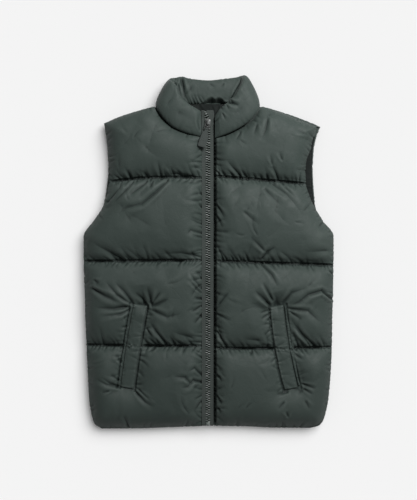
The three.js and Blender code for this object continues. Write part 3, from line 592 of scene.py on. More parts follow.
def fromHold(side, folds):
    # turns each fold round so that it starts where the cloth is sewn down
    across = np.linspace(0, 1, 25)
    lines = [frontLine(side, row, across) for row in range(5)]
    edges = frontPlan(side, np.array([0.0, 1.0]), np.linspace(0, 4, 60))
    lines += [edges[:, 0], edges[:, 1]]
    turned = []
    for line, wide, deep in folds:
        line = np.asarray(line, float)
        ends = line[[0, -1]]
        away = np.min([distanceToLine(ends, sewn) for sewn in lines] + [distanceToWelt(side, ends)], axis=0)
        turned.append((line if away[0] <= away[1] else line[::-1], wide, deep))
    return turned


def fuller(grid, perBaffle, low, amount):
    # the filling pushes the cloth out, so that a baffle is flatter on top and steeper at its seams
    full = grid.copy()
    for first in range(0, grid.shape[0] - 1, perBaffle):
        part = full[first:first + perBaffle + 1, :, 2]
        crest = part.max(0)
        around = np.pad(crest, 8, mode="edge")
        crest = np.convolve(around, np.ones(17) / 17, "valid")
        share = np.clip((part - low) / np.maximum(crest - low, 1), 0, 1.2)
        lifted = low + np.maximum(crest - low, 1) * share**amount
        full[first:first + perBaffle + 1, :, 2] = np.where(part > low, lifted, part)
    return full


def bent(x0, y0, x1, y1, bow):
    # a curved line between two points
    t = np.linspace(0, 1, 6)
    way = np.array([x1 - x0, y1 - y0])
    aside = np.array([-way[1], way[0]])
    return np.array([x0, y0]) + t[:, None] * way + (bow * 4 * t * (1 - t))[:, None] * aside


def puckers(rng, line, inward, spacing, length, wide, deep, lean, spread):
    # short folds that start on a seam and run away from it; inward gives their side of the seam
    line = np.asarray(line, float)
    run = np.concatenate([[0], np.cumsum(np.linalg.norm(np.diff(line, axis=0), axis=1))])
    folds = []
    at = rng.uniform(0, spacing[1])
    while at < run[-1]:
        x, y = np.interp(at, run, line[:, 0]), np.interp(at, run, line[:, 1])
        ahead = [np.interp(at + 2, run, line[:, k]) - np.interp(at - 2, run, line[:, k]) for k in (0, 1)]
        turn = math.atan2(ahead[1], ahead[0]) + math.pi / 2
        if math.cos(turn) * inward[0] + math.sin(turn) * inward[1] < 0:
            turn += math.pi
        turn += math.radians(lean + rng.normal(0, spread))
        strength = rng.uniform(0.25, 1) ** 1.4
        long = mix(length[0], length[1], strength) * rng.uniform(0.8, 1.2)
        x1, y1 = x + long * math.cos(turn), y + long * math.sin(turn)
        lipSide = 1 if rng.random() < 0.5 else -1
        folds.append((bent(x, y, x1, y1, rng.uniform(-0.14, 0.14)), lipSide * mix(wide[0], wide[1], strength),
                      mix(deep[0], deep[1], strength)))
        at += rng.uniform(*spacing) * (2.2 if rng.random() < 0.16 else 1)
    return folds


def looseFolds(rng, count, low, high, length, wide, deep):
    # a few long shallow creases in the open cloth
    folds = []
    for _ in range(count):
        x, y = rng.uniform(low, high)
        turn = rng.uniform(-1.2, 1.2) + (math.pi / 2 if rng.random() < 0.3 else 0.6)
        long = rng.uniform(*length)
        line = bent(x, y, x + long * math.cos(turn), y + long * math.sin(turn), rng.uniform(-0.2, 0.2))
        folds.append((line, rng.uniform(*wide), rng.uniform(*deep)))
    return folds




# finishes
def newSocket(tree, name, way, kind, value=None):
    made = tree.interface.new_socket(name=name, in_out=way, socket_type=f"NodeSocket{kind}")
    if value is not None:
        made.default_value = value


def fillIn(tree, made, inputs):
    # an input is linked where it is given a socket, and takes the value otherwise
    for name, value in inputs.items():
        if isinstance(value, bpy.types.NodeSocket):
            tree.links.new(value, made.inputs[name])
        else:
            made.inputs[name].default_value = value
    return made


def node(tree, kind, inputs=None, **settings):
    made = tree.nodes.new(kind)
    for name, value in settings.items():
        setattr(made, name, value)
    return fillIn(tree, made, inputs or {})


def noise(tree, place, scale, detail, distortion=0):
    inputs = {"Scale": scale, "Detail": detail, "Distortion": distortion, "Vector": place}
    return node(tree, "ShaderNodeTexNoise", inputs)


def multiplyAdd(tree, a, b, c):
    return node(tree, "ShaderNodeMath", {0: a, 1: b, 2: c}, operation="MULTIPLY_ADD").outputs[0]


def crumpleGroup():
    # crumpled woven nylon: soft facets, thin patchy crease lines and a plain weave
    tree = bpy.data.node_groups.new("crumple", "ShaderNodeTree")
    newSocket(tree, "Place", "INPUT", "Vector")
    newSocket(tree, "Facet scale", "INPUT", "Float", 26.0)
    newSocket(tree, "Weave scale", "INPUT", "Float", 500.0)
    newSocket(tree, "Height", "OUTPUT", "Float")
    newSocket(tree, "Tone", "OUTPUT", "Float")
    given, out = node(tree, "NodeGroupInput"), node(tree, "NodeGroupOutput")
    place, facetScale, weaveScale = [given.outputs[name] for name in ("Place", "Facet scale", "Weave scale")]

    def times(a, b):
        return node(tree, "ShaderNodeMath", {0: a, 1: b}, operation="MULTIPLY").outputs[0]

    warp = noise(tree, place, 14, 3).outputs["Color"]
    moved = node(tree, "ShaderNodeVectorMath", {0: warp, 1: (0.05, 0.05, 0.05), 2: place},
                 operation="MULTIPLY_ADD").outputs[0]
    facets = node(tree, "ShaderNodeTexVoronoi", {"Smoothness": 0.35, "Vector": moved, "Scale": facetScale},
                  feature="SMOOTH_F1").outputs["Distance"]
    cracks = node(tree, "ShaderNodeTexVoronoi", {"Scale": 42, "Vector": moved},
                  feature="DISTANCE_TO_EDGE").outputs["Distance"]
    thin = node(tree, "ShaderNodeMapRange", {"From Max": 0.09, "Value": cracks},
                interpolation_type="SMOOTHSTEP").outputs["Result"]
    patches = noise(tree, place, 18, 2).outputs["Fac"]
    patch = node(tree, "ShaderNodeMapRange", {"From Min": 0.5, "From Max": 0.72, "Value": patches})
    fine = noise(tree, moved, 95, 4, 0.8).outputs["Fac"]
    threads = [node(tree, "ShaderNodeTexWave", {"Vector": place, "Scale": weaveScale},
                    bands_direction=direction).outputs["Fac"] for direction in ("X", "Y")]
    total = multiplyAdd(tree, fine, 0.42, facets)
    total = multiplyAdd(tree, times(thin, patch.outputs["Result"]), 0.16, total)
    total = multiplyAdd(tree, times(*threads), 0.05, total)
    fillIn(tree, out, {"Height": total, "Tone": fine})
    return tree


crumple = crumpleGroup()


def startMaterial(name):
    material = bpy.data.materials.new(name)
    material.use_nodes = True
    tree = material.node_tree
    return material, tree, tree.nodes["Principled BSDF"], node(tree, "ShaderNodeTexCoord").outputs["Object"]


def mapped(tree, value, fromRange, toRange):
    inputs = dict(zip(("From Min", "From Max", "To Min", "To Max"), (*fromRange, *toRange)))
    return node(tree, "ShaderNodeMapRange", {**inputs, "Value": value}).outputs["Result"]


def blended(tree, factor, a, b):
    return node(tree, "ShaderNodeMix", {"Factor": factor, 6: a, 7: b}, data_type="RGBA").outputs[2]


def bumped(tree, height, strength, distance):
    inputs = {"Strength": strength, "Distance": distance, "Height": height}
    return node(tree, "ShaderNodeBump", inputs).outputs["Normal"]


def clothFinish(name, spec):
    # nylon: two close tones; paler along the folds' ridges, partly wear and partly painted sheen, and darker
    # in the troughs as painted shade
    material, tree, skin, place = startMaterial(name)
    inputs = {"Facet scale": spec["facets"], "Weave scale": spec["weave"], "Place": place}
    cloth = node(tree, "ShaderNodeGroup", inputs, node_tree=crumple)
    ridge = node(tree, "ShaderNodeAttribute", attribute_name="ridge").outputs["Fac"]
    body = blended(tree, noise(tree, place, spec["drift"], 3).outputs["Fac"], spec["dark"], spec["light"])
    # the worn colour along the ridges is wear and painted sheen
    body = blended(tree, mapped(tree, ridge, (0.15, 1), (0, spec["wearAndSheen"])), body, spec["worn"])
    # the deep colour in the troughs is painted shade
    body = blended(tree, mapped(tree, ridge, (-0.15, -1), (0, spec["shade"])), body, spec["deep"])
    fillIn(tree, skin, {
        "Base Color": body,
        "Roughness": mapped(tree, cloth.outputs["Tone"], (0.3, 0.7), spec["rough"]),
        "Normal": bumped(tree, cloth.outputs["Height"], spec["bump"], spec["bumpDeep"]),
        "Sheen Weight": spec["sheen"], "Sheen Roughness": 0.45, "Specular IOR Level": spec["specular"],
    })
    return material


def ribbedFinish(name, spec):
    # woven tape: ribs along it, finer picks across and faint wear
    material, tree, skin, place = startMaterial(name)
    waves = []
    for direction, scale in (("X", spec["ribs"]), ("Y", spec["picks"])):
        inputs = {"Scale": scale, "Distortion": 0.6, "Detail Scale": 3, "Vector": place}
        waves.append(node(tree, "ShaderNodeTexWave", inputs, bands_direction=direction).outputs["Fac"])
    drift = noise(tree, place, 60, 4).outputs["Fac"]
    body = blended(tree, waves[0], spec["dark"], spec["light"])
    body = blended(tree, mapped(tree, drift, (0.5, 0.8), (0, 0.35)), body, spec["worn"])
    fillIn(tree, skin, {
        "Base Color": body,
        "Roughness": mapped(tree, drift, (0.3, 0.7), spec["rough"]),
        "Normal": bumped(tree, multiplyAdd(tree, waves[1], 0.5, waves[0]), 0.7, spec["bumpDeep"]),
        "Sheen Weight": 0.15, "Specular IOR Level": 0.3,
    })
    return material


def hardFinish(name, spec):
    # moulded plastic or plated metal, with rubbed patches and fine scratches
    material, tree, skin, place = startMaterial(name)
    rubbed = mapped(tree, noise(tree, place, spec["patches"], 5).outputs["Fac"], (0.45, 0.65), (0, 1))
    stretched = node(tree, "ShaderNodeMapping", {"Scale": (1, 0.12, 1), "Vector": place}).outputs["Vector"]
    scratches = noise(tree, stretched, 1800, 2).outputs["Fac"]
    fillIn(tree, skin, {
        "Base Color": blended(tree, rubbed, spec["dark"], spec["light"]),
        "Roughness": mapped(tree, scratches, (0.3, 0.7), spec["rough"]),
        "Normal": bumped(tree, scratches, 0.25, 0.00008),
        "Metallic": spec["metallic"],
    })
    return material


# on the folds the worn colour is wear and painted sheen on the ridges, and the deep colour is painted shade
# in the troughs
shellNylon = clothFinish("shell_nylon_look", {
    "dark": (0.035, 0.049, 0.044, 1), "light": (0.049, 0.065, 0.058, 1), "worn": (0.072, 0.090, 0.082, 1),
    "deep": (0.010, 0.015, 0.014, 1), "wearAndSheen": 0.42, "shade": 0.72, "facets": 26, "weave": 500, "drift": 7,
    "rough": (0.52, 0.66), "bump": 0.6, "bumpDeep": 0.0016, "sheen": 0.05, "specular": 0.22,
})
# the same wear and painted sheen on the ridges and painted shade in the troughs
facingNylon = clothFinish("facing_nylon_look", {
    "dark": (0.008, 0.011, 0.010, 1), "light": (0.014, 0.017, 0.016, 1), "worn": (0.03, 0.036, 0.033, 1),
    "deep": (0.006, 0.008, 0.007, 1), "wearAndSheen": 0.3, "shade": 0.6, "facets": 34, "weave": 450, "drift": 9,
    "rough": (0.65, 0.8), "bump": 0.5, "bumpDeep": 0.001, "sheen": 0.02, "specular": 0.1,
})
tapeCloth = ribbedFinish("zip_tape_look", {
    "dark": (0.034, 0.043, 0.039, 1), "light": (0.064, 0.077, 0.071, 1), "worn": (0.09, 0.104, 0.098, 1),
    "ribs": 260, "picks": 380, "rough": (0.7, 0.88), "bumpDeep": 0.00035,
})
tabCloth = ribbedFinish("tab_fabric_look", {
    "dark": (0.028, 0.036, 0.033, 1), "light": (0.050, 0.060, 0.056, 1), "worn": (0.08, 0.09, 0.085, 1),
    "ribs": 300, "picks": 300, "rough": (0.6, 0.78), "bumpDeep": 0.0003,
})
teethPlastic = hardFinish("zip_teeth_look", {
    "dark": (0.10, 0.12, 0.11, 1), "light": (0.26, 0.28, 0.27, 1), "patches": 160, "rough": (0.3, 0.45),
    "metallic": 0,
})
zipMetal = hardFinish("zip_metal_look", {
    "dark": (0.11, 0.115, 0.112, 1), "light": (0.21, 0.22, 0.215, 1), "patches": 420, "rough": (0.6, 0.75),
    "metallic": 1,
})
threadNylon = ribbedFinish("thread_look", {
    "dark": (0.030, 0.038, 0.035, 1), "light": (0.050, 0.060, 0.056, 1), "worn": (0.08, 0.09, 0.085, 1),
    "ribs": 1500, "picks": 900, "rough": (0.5, 0.65), "bumpDeep": 0.0001,
})


# small repeated things along lines: stitches and zip teeth
def stampsGroup():
    # sets a stamp at every pitch, its X along the line and its Z along the faceOut attribute
    tree = bpy.data.node_groups.new("stampsOnLine", "GeometryNodeTree")
    newSocket(tree, "Line", "INPUT", "Geometry")
    newSocket(tree, "Stamp", "INPUT", "Object")
    newSocket(tree, "Pitch", "INPUT", "Float", 0.003)
    newSocket(tree, "Unevenness", "INPUT", "Float", 0.0)
    newSocket(tree, "Seed", "INPUT", "Int", 1)
    newSocket(tree, "Finish", "INPUT", "Material")
    newSocket(tree, "Stamps", "OUTPUT", "Geometry")
    inside, outside = node(tree, "NodeGroupInput"), node(tree, "NodeGroupOutput")
    given = inside.outputs
    curve = node(tree, "GeometryNodeMeshToCurve", {"Mesh": given["Line"]}).outputs["Curve"]
    spaced = node(tree, "GeometryNodeResampleCurve", mode="LENGTH")
    fillIn(tree, spaced, {"Curve": curve, "Length": given["Pitch"]})
    stamp = node(tree, "GeometryNodeObjectInfo", {"Object": given["Stamp"]})
    tangent = node(tree, "GeometryNodeInputTangent").outputs["Tangent"]
    ahead = node(tree, "FunctionNodeAlignRotationToVector", {"Vector": tangent}, axis="X")
    faceOut = node(tree, "GeometryNodeInputNamedAttribute", {"Name": "faceOut"}, data_type="FLOAT_VECTOR")
    turn = {"Rotation": ahead.outputs["Rotation"], "Vector": faceOut.outputs["Attribute"]}
    upright = node(tree, "FunctionNodeAlignRotationToVector", turn, axis="Z", pivot_axis="X")
    least, most = [
        node(tree, "ShaderNodeMath", {0: 1, 1: given["Unevenness"]}, operation=operation).outputs[0]
        for operation in ("SUBTRACT", "ADD")
    ]
    sizes = {2: least, 3: most, "Seed": given["Seed"]}
    size = node(tree, "FunctionNodeRandomValue", sizes, data_type="FLOAT")
    stamps = node(tree, "GeometryNodeInstanceOnPoints", {
        "Points": spaced.outputs["Curve"], "Instance": stamp.outputs["Geometry"],
        "Rotation": upright.outputs["Rotation"], "Scale": size.outputs[1],
    })
    real = node(tree, "GeometryNodeRealizeInstances", {"Geometry": stamps.outputs["Instances"]})
    dressed = {"Geometry": real.outputs["Geometry"], "Material": given["Finish"]}
    finished = node(tree, "GeometryNodeSetMaterial", dressed)
    fillIn(tree, outside, {"Stamps": finished.outputs["Geometry"]})
    return tree


stampsOnLine = stampsGroup()


def stamped(name, lines, stamp, pitch, unevenness, seed, material):
    # lines: (points, outward normals) in millimetres; gives one plain mesh with a stamp at every pitch
    points, normals, edges = [], [], []
    for line, outwards in lines:
        first = len(points)
        points.extend(np.asarray(line, float).tolist())
        normals.extend(np.asarray(outwards, float).tolist())
        edges.extend((first + k, first + k + 1) for k in range(len(line) - 1))
    mesh = bpy.data.meshes.new(f"{name}_line")
    mesh.from_pydata(inMetres(points), edges, [])
    outside = mesh.attributes.new("faceOut", "FLOAT_VECTOR", "POINT")
    outside.data.foreach_set("vector", np.array(normals).ravel())
    guide = inScene(f"{name}_line", mesh)
    modifier = guide.modifiers.new("stamps", "NODES")
    modifier.node_group = stampsOnLine
    values = {
        "Stamp": stamp, "Pitch": pitch * mm, "Unevenness": unevenness, "Seed": seed, "Finish": material,
    }
    for item in stampsOnLine.interface.items_tree:
        if item.item_type == "SOCKET" and item.in_out == "INPUT" and item.name in values:
            modifier[item.identifier] = values[item.name]
    shown = guide.evaluated_get(bpy.context.evaluated_depsgraph_get())
    solid = bpy.data.meshes.new_from_object(shown)
    solid.name = name
    made = inScene(name, solid)
    bpy.data.objects.remove(guide)
    bpy.data.meshes.remove(mesh)
    solid.shade_smooth()
    return made


def stampObject(name, points, faces):
    # a small thing to repeat, kept out of the scene itself
    mesh = bpy.data.meshes.new(name)
    mesh.from_pydata((np.array(points) * mm).tolist(), [], faces)
    return bpy.data.objects.new(name, turnedOutwards(mesh))


def stitchStamp(long, radius):
    # one stitch: a short thread along X whose ends dip into the cloth
    sides = 6
    stations = [(-0.5, 0.25, -1.1), (-0.4, 0.8, -0.35), (0, 1, 0), (0.4, 0.8, -0.35), (0.5, 0.25, -1.1)]
    points = []
    for at, size, dip in stations:
        for k in range(sides):
            angle = 2 * math.pi * k / sides
            across, up = math.cos(angle) * size, math.sin(angle) * size + dip
            points.append((at * long, across * radius, up * radius))
    return stampObject("stitch", points, tubeFaces(len(stations), sides))


def toothStamp():
    # one moulded tooth: X along the zip, Y from the tape towards the middle of the chain, Z out
    outline = [(-1.25, 0), (-1.25, 1.3), (-0.9, 2.6), (-1.15, 3.6), (-0.9, 4.6), (-0.45, 5.1)]
    outline += [(-x, y) for x, y in reversed(outline)]
    inside = [(x * 0.78, y * 0.9 + 0.2) for x, y in outline]
    half, chamfer = 1.75, 0.45
    points = []
    for ring, z in ((inside, -half), (outline, -half + chamfer), (outline, half - chamfer), (inside, half)):
        points += [(x, y, z) for x, y in ring]
    return stampObject("tooth", points, tubeFaces(4, len(outline)))


# fronts
frontCloth = {
    "columns": 48, "rowsPerBaffle": 29, "finer": 4, "surplusUp": 0.17, "surplusAcross": 0.05,
    "pressure": 3.5, "frames": 26, "quality": 6, "stiff": 18, "shear": 4, "bending": 0.15, "cap": 14,
    "seamWander": 0.7, "grooveDeep": 1.9, "grooveWide": 1.6, "softDeep": 1.3, "softWide": 7,
    "zipDrop": {"right": 1.5, "left": 6}, "full": 0.74, "mainDeep": 1.6, "puckerDeep": 1.4,
    "hemReach": 62, "hemHigh": 36, "hemRound": 1.9, "hemSoft": 0.15,
    "gapAt": 1.6, "gapWide": 2.2, "gapDeep": 2.8,
}
# main folds of the fronts: (line, width, depth), each turned to start at its nearest seam
mainFolds = {
    "right": [
        ([(-90, 153), (-116, 127), (-145, 103), (-184, 92), (-197, 75)], 3.7, 4.7),
        ([(-165, 149), (-208, 101)], 3.1, 3.1),
        ([(-134, 151), (-173, 119)], 2.7, 2.7),
        ([(-182, 149), (-221, 106)], 2.7, 2.2),
        ([(-121, 151), (-129, 134)], 2.0, 1.7),
        ([(-176, 177), (-169, 156)], 2.4, 2.5),
        ([(-142, 175), (-132, 158)], 2.4, 2.5),
        ([(-110, 197), (-103, 158)], 2.7, 2.0),
        ([(-83, 184), (-75, 162)], 2.4, 2.4),
        ([(-210, 169), (-190, 153)], 2.0, 2.0),
        ([(-108, 162), (-69, 166), (-32, 160)], 3.4, 2.5),
        ([(-40, 69), (-12, 58)], 2.4, 2.0),
        ([(-49, 34), (-38, 45), (-12, 38)], 2.7, 2.4),
        ([(-23, 110), (-12, 92)], 2.0, 1.9),
        ([(-22, 140), (-14, 121)], 2.0, 1.5),
        ([(-260, 23), (-225, 3), (-184, -23)], 5.4, 3.4),
        ([(-216, -3), (-199, -23)], 2.4, 1.9),
        ([(-188, -3), (-171, -23)], 2.4, 1.9),
        ([(-114, -8), (-60, -5), (-16, -14)], 4.1, 2.4),
        ([(-203, -66), (-182, -88), (-164, -114)], 3.4, 3.6),
        ([(-223, -64), (-197, -95), (-166, -116)], 3.1, 3.1),
        ([(-251, -82), (-225, -97), (-190, -110)], 3.7, 3.7),
        ([(-249, -121), (-206, -125), (-173, -121)], 3.7, 3.9),
        ([(-240, -140), (-190, -136), (-171, -127)], 3.1, 2.7),
        ([(-247, -64), (-236, -71)], 2.7, 2.0),
        ([(-158, -88), (-138, -116)], 2.4, 3.1),
        ([(-132, -75), (-125, -116)], 3.4, 3.7),
        ([(-103, -86), (-123, -116)], 2.7, 2.2),
        ([(-86, -103), (-121, -119)], 3.4, 2.9),
        ([(-121, -129), (-90, -142), (-55, -134)], 4.1, 2.7),
        ([(-140, -121), (-143, -95), (-146, -72)], 12, 5.5),
        ([(-128, -151), (-114, -175), (-92, -203)], 2.7, 4.1),
        ([(-133, -186), (-112, -206)], 2.0, 2.2),
        ([(-134, -169), (-121, -188)], 2.0, 1.9),
        ([(-85, -182), (-72, -206)], 2.4, 2.5),
        ([(-82, -173), (-34, -190)], 5.4, 2.5),
        ([(-40, -45), (-15, -82)], 2.4, 3.1),
        ([(-41, -62), (-17, -90)], 2.2, 2.5),
        ([(-22, -47), (-13, -62)], 1.8, 1.7),
        ([(-32, -99), (-12, -105)], 2.3, 2.7),
        ([(-38, -132), (-14, -119)], 2.2, 2.2),
        ([(-32, -158), (-12, -138)], 2.2, 2.4),
        ([(-190, -164), (-175, -164)], 2.0, 1.7),
        ([(-201, -223), (-188, -243)], 2.7, 2.7),
        ([(-245, -275), (-221, -288), (-192, -297)], 2.7, 3.2),
        ([(-234, -271), (-212, -286), (-192, -295)], 2.0, 2.4),
        ([(-212, -266), (-192, -282)], 2.0, 2.2),
        ([(-232, -306), (-216, -303)], 2.0, 1.7),
        ([(-160, -303), (-138, -325), (-116, -338)], 2.7, 2.9),
        ([(-151, -301), (-123, -325)], 2.0, 1.9),
        ([(-45, -260), (-29, -253), (-15, -269)], 2.3, 2.7),
        ([(-60, -295), (-45, -293), (-32, -280), (-12, -286)], 2.7, 3.9),
        ([(-79, -269), (-51, -273), (-40, -284)], 3.1, 2.4),
        ([(-29, -345), (-15, -327)], 2.3, 2.2),
        ([(-32, -321), (-14, -314)], 2.0, 1.7),
        ([(-36, -214), (-12, -234)], 2.3, 2.2),
        ([(-140, -223), (-116, -210)], 2.3, 1.7),
        ([(-184, -353), (-175, -380)], 2.3, 2.0),
    ],
    "left": [
        ([(39, 197), (53, 179), (74, 156)], 3.0, 3.7),
        ([(69, 177), (85, 156)], 2.3, 2.7),
        ([(136, 190), (143, 173), (151, 154)], 2.6, 3.2),
        ([(200, 173), (198, 149)], 2.3, 2.4),
        ([(16, 175), (30, 156)], 1.8, 1.9),
        ([(26, 175), (38, 158)], 1.8, 1.9),
        ([(47, 171), (58, 156)], 1.8, 1.5),
        ([(95, 171), (103, 156)], 1.8, 1.4),
        ([(111, 169), (116, 156)], 1.8, 1.5),
        ([(124, 169), (129, 156)], 1.8, 1.5),
        ([(127, 284), (123, 262), (114, 238)], 4.1, 2.5),
        ([(104, 273), (97, 249)], 3.4, 1.7),
        ([(69, 258), (58, 238)], 2.7, 1.5),
        ([(153, 216), (158, 197)], 2.7, 1.4),
        ([(133, 212), (137, 188)], 2.7, 1.4),
        ([(184, 267), (208, 253)], 3.4, 1.3),
        ([(137, 149), (169, 123), (203, 79)], 4.1, 2.4),
        ([(122, 134), (157, 97)], 3.4, 1.7),
        ([(166, 138), (190, 114)], 2.7, 1.7),
        ([(78, 84), (112, 53)], 3.4, 1.3),
        ([(91, 32), (119, 1)], 3.1, 2.0),
        ([(145, 10), (127, -3), (114, -20)], 3.4, 3.4),
        ([(16, 101), (35, 71)], 2.3, 2.5),
        ([(16, 79), (30, 49)], 2.2, 2.2),
        ([(16, 14), (33, -21)], 2.0, 2.4),
        ([(26, 1), (40, -21)], 1.9, 2.0),
        ([(45, -5), (54, -21)], 1.9, 1.7),
        ([(62, -5), (71, -21)], 1.9, 1.7),
        ([(77, 1), (87, -21)], 1.9, 1.9),
        ([(206, -3), (258, 1)], 5.4, 2.0),
        ([(115, -27), (136, -51), (150, -79)], 2.7, 3.4),
        ([(117, -66), (127, -86), (138, -108)], 2.3, 3.4),
        ([(100, -84), (116, -101), (133, -119)], 3.0, 4.2),
        ([(148, -122), (147, -104), (143, -88)], 11, 4.5),
        ([(212, -79), (179, -90), (162, -112)], 3.4, 2.2),
        ([(171, -121), (195, -110), (214, -95), (245, -86), (269, -105)], 3.1, 4.2),
        ([(249, -86), (269, -92)], 2.0, 1.7),
        ([(173, -125), (214, -129), (249, -160)], 3.4, 2.5),
        ([(176, -132), (203, -149)], 2.3, 2.4),
        ([(176, -145), (201, -179), (230, -208)], 2.7, 3.7),
        ([(181, -160), (220, -206)], 2.0, 2.9),
        ([(181, -175), (196, -210)], 2.0, 2.5),
        ([(110, -134), (135, -127)], 2.2, 2.2),
        ([(112, -147), (134, -134)], 2.0, 1.9),
        ([(123, -153), (135, -145)], 1.8, 1.5),
        ([(127, -175), (137, -162)], 1.9, 1.7),
        ([(47, -84), (21, -116)], 4.1, 1.9),
        ([(16, -136), (50, -151)], 2.4, 2.0),
        ([(16, -156), (27, -190), (40, -210)], 2.6, 3.9),
        ([(17, -175), (33, -206)], 2.0, 2.5),
        ([(71, -190), (110, -195)], 4.8, 2.0),
        ([(260, -38), (271, -51)], 2.0, 2.5),
        ([(90, -229), (95, -214)], 2.3, 2.2),
        ([(145, -310), (171, -306)], 2.3, 2.2),
        ([(17, -269), (30, -284)], 2.4, 2.7),
        ([(17, -314), (29, -332)], 2.4, 2.7),
        ([(19, -340), (27, -353)], 2.2, 1.9),
        ([(202, -288), (233, -297)], 2.2, 2.5),
        ([(207, -299), (227, -310)], 2.0, 1.9),
        ([(149, -343), (162, -327)], 2.7, 1.5),
        ([(210, -325), (218, -343)], 3.0, 1.5),
        ([(169, -345), (171, -358)], 2.3, 2.5),
        ([(184, -221), (208, -238)], 2.7, 1.7),
    ],
}


pocket = {
    "puff": 5.2, "rows": 240, "columns": 44, "sunk": 0.4, "bow": {"right": 1.5, "left": -4.5},
    "pipeColumns": 30, "pipeWidth": 3.8, "pipeHigh": 3.6, "pipeGap": 1.3, "belly": {"right": 0.6, "left": 5},
}


def underInset(side):
    # how far a front's plain inside stands in from its rim: most at the armhole, none at the zip
    def inset(edge):
        away = np.clip(np.minimum(edge[:, 1] - 52, 282 - edge[:, 1]) / 30, 0, 1)
        amount = np.where(np.abs(edge[:, 0]) > 200, mix(4.0, 18.0, away), 4.0)
        zipX = sideSign[side] * neckSeam[side][0][0]
        return np.where(np.abs(edge[:, 0] - zipX) < 1, 0.05, amount)
    return inset


def seamPuckers(side):
    # the small gathers along every seam of a front
    rng = np.random.default_rng(7 if side == "right" else 11)
    sign = sideSign[side]
    across = np.linspace(0.02, 0.98, 40)
    folds = []

    def gather(line, inward, spacing, length, wide, deep, lean, spread):
        folds.extend(puckers(rng, line, inward, spacing, length, wide, deep, lean, spread))

    for row in (1, 2, 3):
        seam = frontLine(side, row, across)
        gather(seam, (0, 1), (7, 18), (12, 46), (1.6, 2.8), (0.3, 1.4), 34, 14)
        gather(seam, (0, -1), (3.5, 9), (6, 22), (1.4, 2.1), (0.5, 1.6), 34 * sign, 16)
    edges = frontPlan(side, np.array([0.0, 1.0]), np.linspace(0.05, 3.95, 120))
    gather(edges[:, 0], (sign, 0), (5, 15), (8, 40), (1.6, 2.7), (0.3, 1.5), 0, 26)
    gather(edges[:, 1], (-sign, 0), (6, 16), (6, 20), (1.2, 2.2), (0.3, 1.2), 0, 24)
    neck = frontTopEdge(side, np.linspace(0.02, 0.5, 30))
    gather(neck, (0, -1), (9, 26), (7, 26), (1.4, 2.6), (0.2, 0.9), 0, 16)
    shoulder = frontTopEdge(side, np.linspace(0.55, 0.98, 20))
    gather(shoulder, (0, -1), (7, 18), (6, 16), (1.2, 2.0), (0.2, 0.8), 0, 16)
    gather(frontLine(side, 0, across), (0, 1), (8, 26), (7, 24), (1.4, 2.6), (0.3, 1.2), 0, 20)
    top, down, over = weltFrame(side)
    spec = welts[side]
    along = np.linspace(4, spec["length"] - 4, 30)
    for edge, start, deep in ((-1, 2, 1.5), (1, pocket["pipeWidth"] + 4, 0.9)):
        away = over * edge
        off = away * (spec["width"] / 2 + start)
        line = [top + off + over * weltBow(side, k) + down * k for k in along]
        gather(line, away, (5, 13), (7, 24), (1.5, 2.3), (0.3, deep), 0, 26)
    return [(line, wide, deep * frontCloth["puckerDeep"]) for line, wide, deep in folds]


def hemFall(side, fine):
    # the filling thins out towards the hem, so the cloth falls away to it in an even curve
    spec = frontCloth
    hem = frontLine(side, 0, np.linspace(0, 1, 49))
    away = distanceToLine(fine[..., :2].reshape(-1, 2), hem).reshape(fine.shape[:2])
    curve = spec["hemHigh"] * rise(away, spec["hemReach"], spec["hemRound"])
    above = fine[..., 2] - levels["free"]
    usual = np.maximum(above.mean(axis=1, keepdims=True), 0.5)
    # the lower of 1 and the curve's share of the row's usual height, with a soft turn between them
    soft = spec["hemSoft"]
    keep = 1 - soft * np.log1p(np.exp(np.clip((1 - curve / usual) / soft, -40, 40)))
    fallen = fine.copy()
    fallen[..., 2] = np.where(above > 0, levels["free"] + above * keep, fine[..., 2])
    return fallen


def weltBow(side, along):
    # how far the middle of a pocket bends out towards the side seam
    share = np.clip(along / welts[side]["length"], 0, 1)
    return pocket["bow"][side] * 4 * share * (1 - share)


def weltGrooves(side):
    # the seams that hold a welt and its piping leave dark lines on both of their sides
    top, down, over = weltFrame(side)
    half, long = welts[side]["width"] / 2, welts[side]["length"]
    ends = np.linspace(-1, long + 1, 24)
    return [([top + over * (off + weltBow(side, k)) + down * k for k in ends], wide, deep)
            for off, wide, deep in ((-half - 1.2, 1.9, 2.6), (half + pocket["pipeWidth"] + 2.2, 1.8, 2.2))]


def sewnFront(side):
    # a front before it is filled, and which of its points are sewn down
    spec = frontCloth
    sign = sideSign[side]
    u = crowded(spec["columns"], 0.3)
    plan = frontPlan(side, u, baffleRows(spec["rowsPerBaffle"]))
    level, toWelt = frontSurface(side, plan)
    start = np.dstack([plan, level])
    pinned = np.zeros(level.shape, bool)
    pinned[0] = pinned[-1] = pinned[:, 0] = pinned[:, -1] = True
    for row in (1, 2, 3):
        r = row * spec["rowsPerBaffle"]
        pinned[r] = True
        # the stitched line wanders a little
        start[r, :, 1] += spec["seamWander"] * waviness(row + 10 * (sign > 0), len(u), 4)
        start[r, :, 2] += 0.8 * waviness(40 + row + 10 * (sign > 0), len(u), 3) * smoothStep(toWelt[r] / 10)
    pinned |= toWelt < 1.5
    start[:, 0, 2] -= spec["zipDrop"][side]
    return start, pinned


def filledFront(side):
    # its cloth is cut larger than the space between the seams, and the filling blows it up
    spec = frontCloth
    start, pinned = sewnFront(side)
    rest = start.copy()
    rest[..., 0] = start[..., 0] * (1 + spec["surplusAcross"])
    rest[..., 1] = start[..., 1] * (1 + spec["surplusUp"])
    rest[..., 2] = 30
    puffed = inflate(f"cloth_{side}", start, rest, pinned, dict(spec, faceDown=side == "right"))
    fine = finerGrid(calmed(puffed, pinned, 1), spec["finer"])
    return hemFall(side, fuller(fine, spec["rowsPerBaffle"] * spec["finer"], levels["quilt"], spec["full"]))


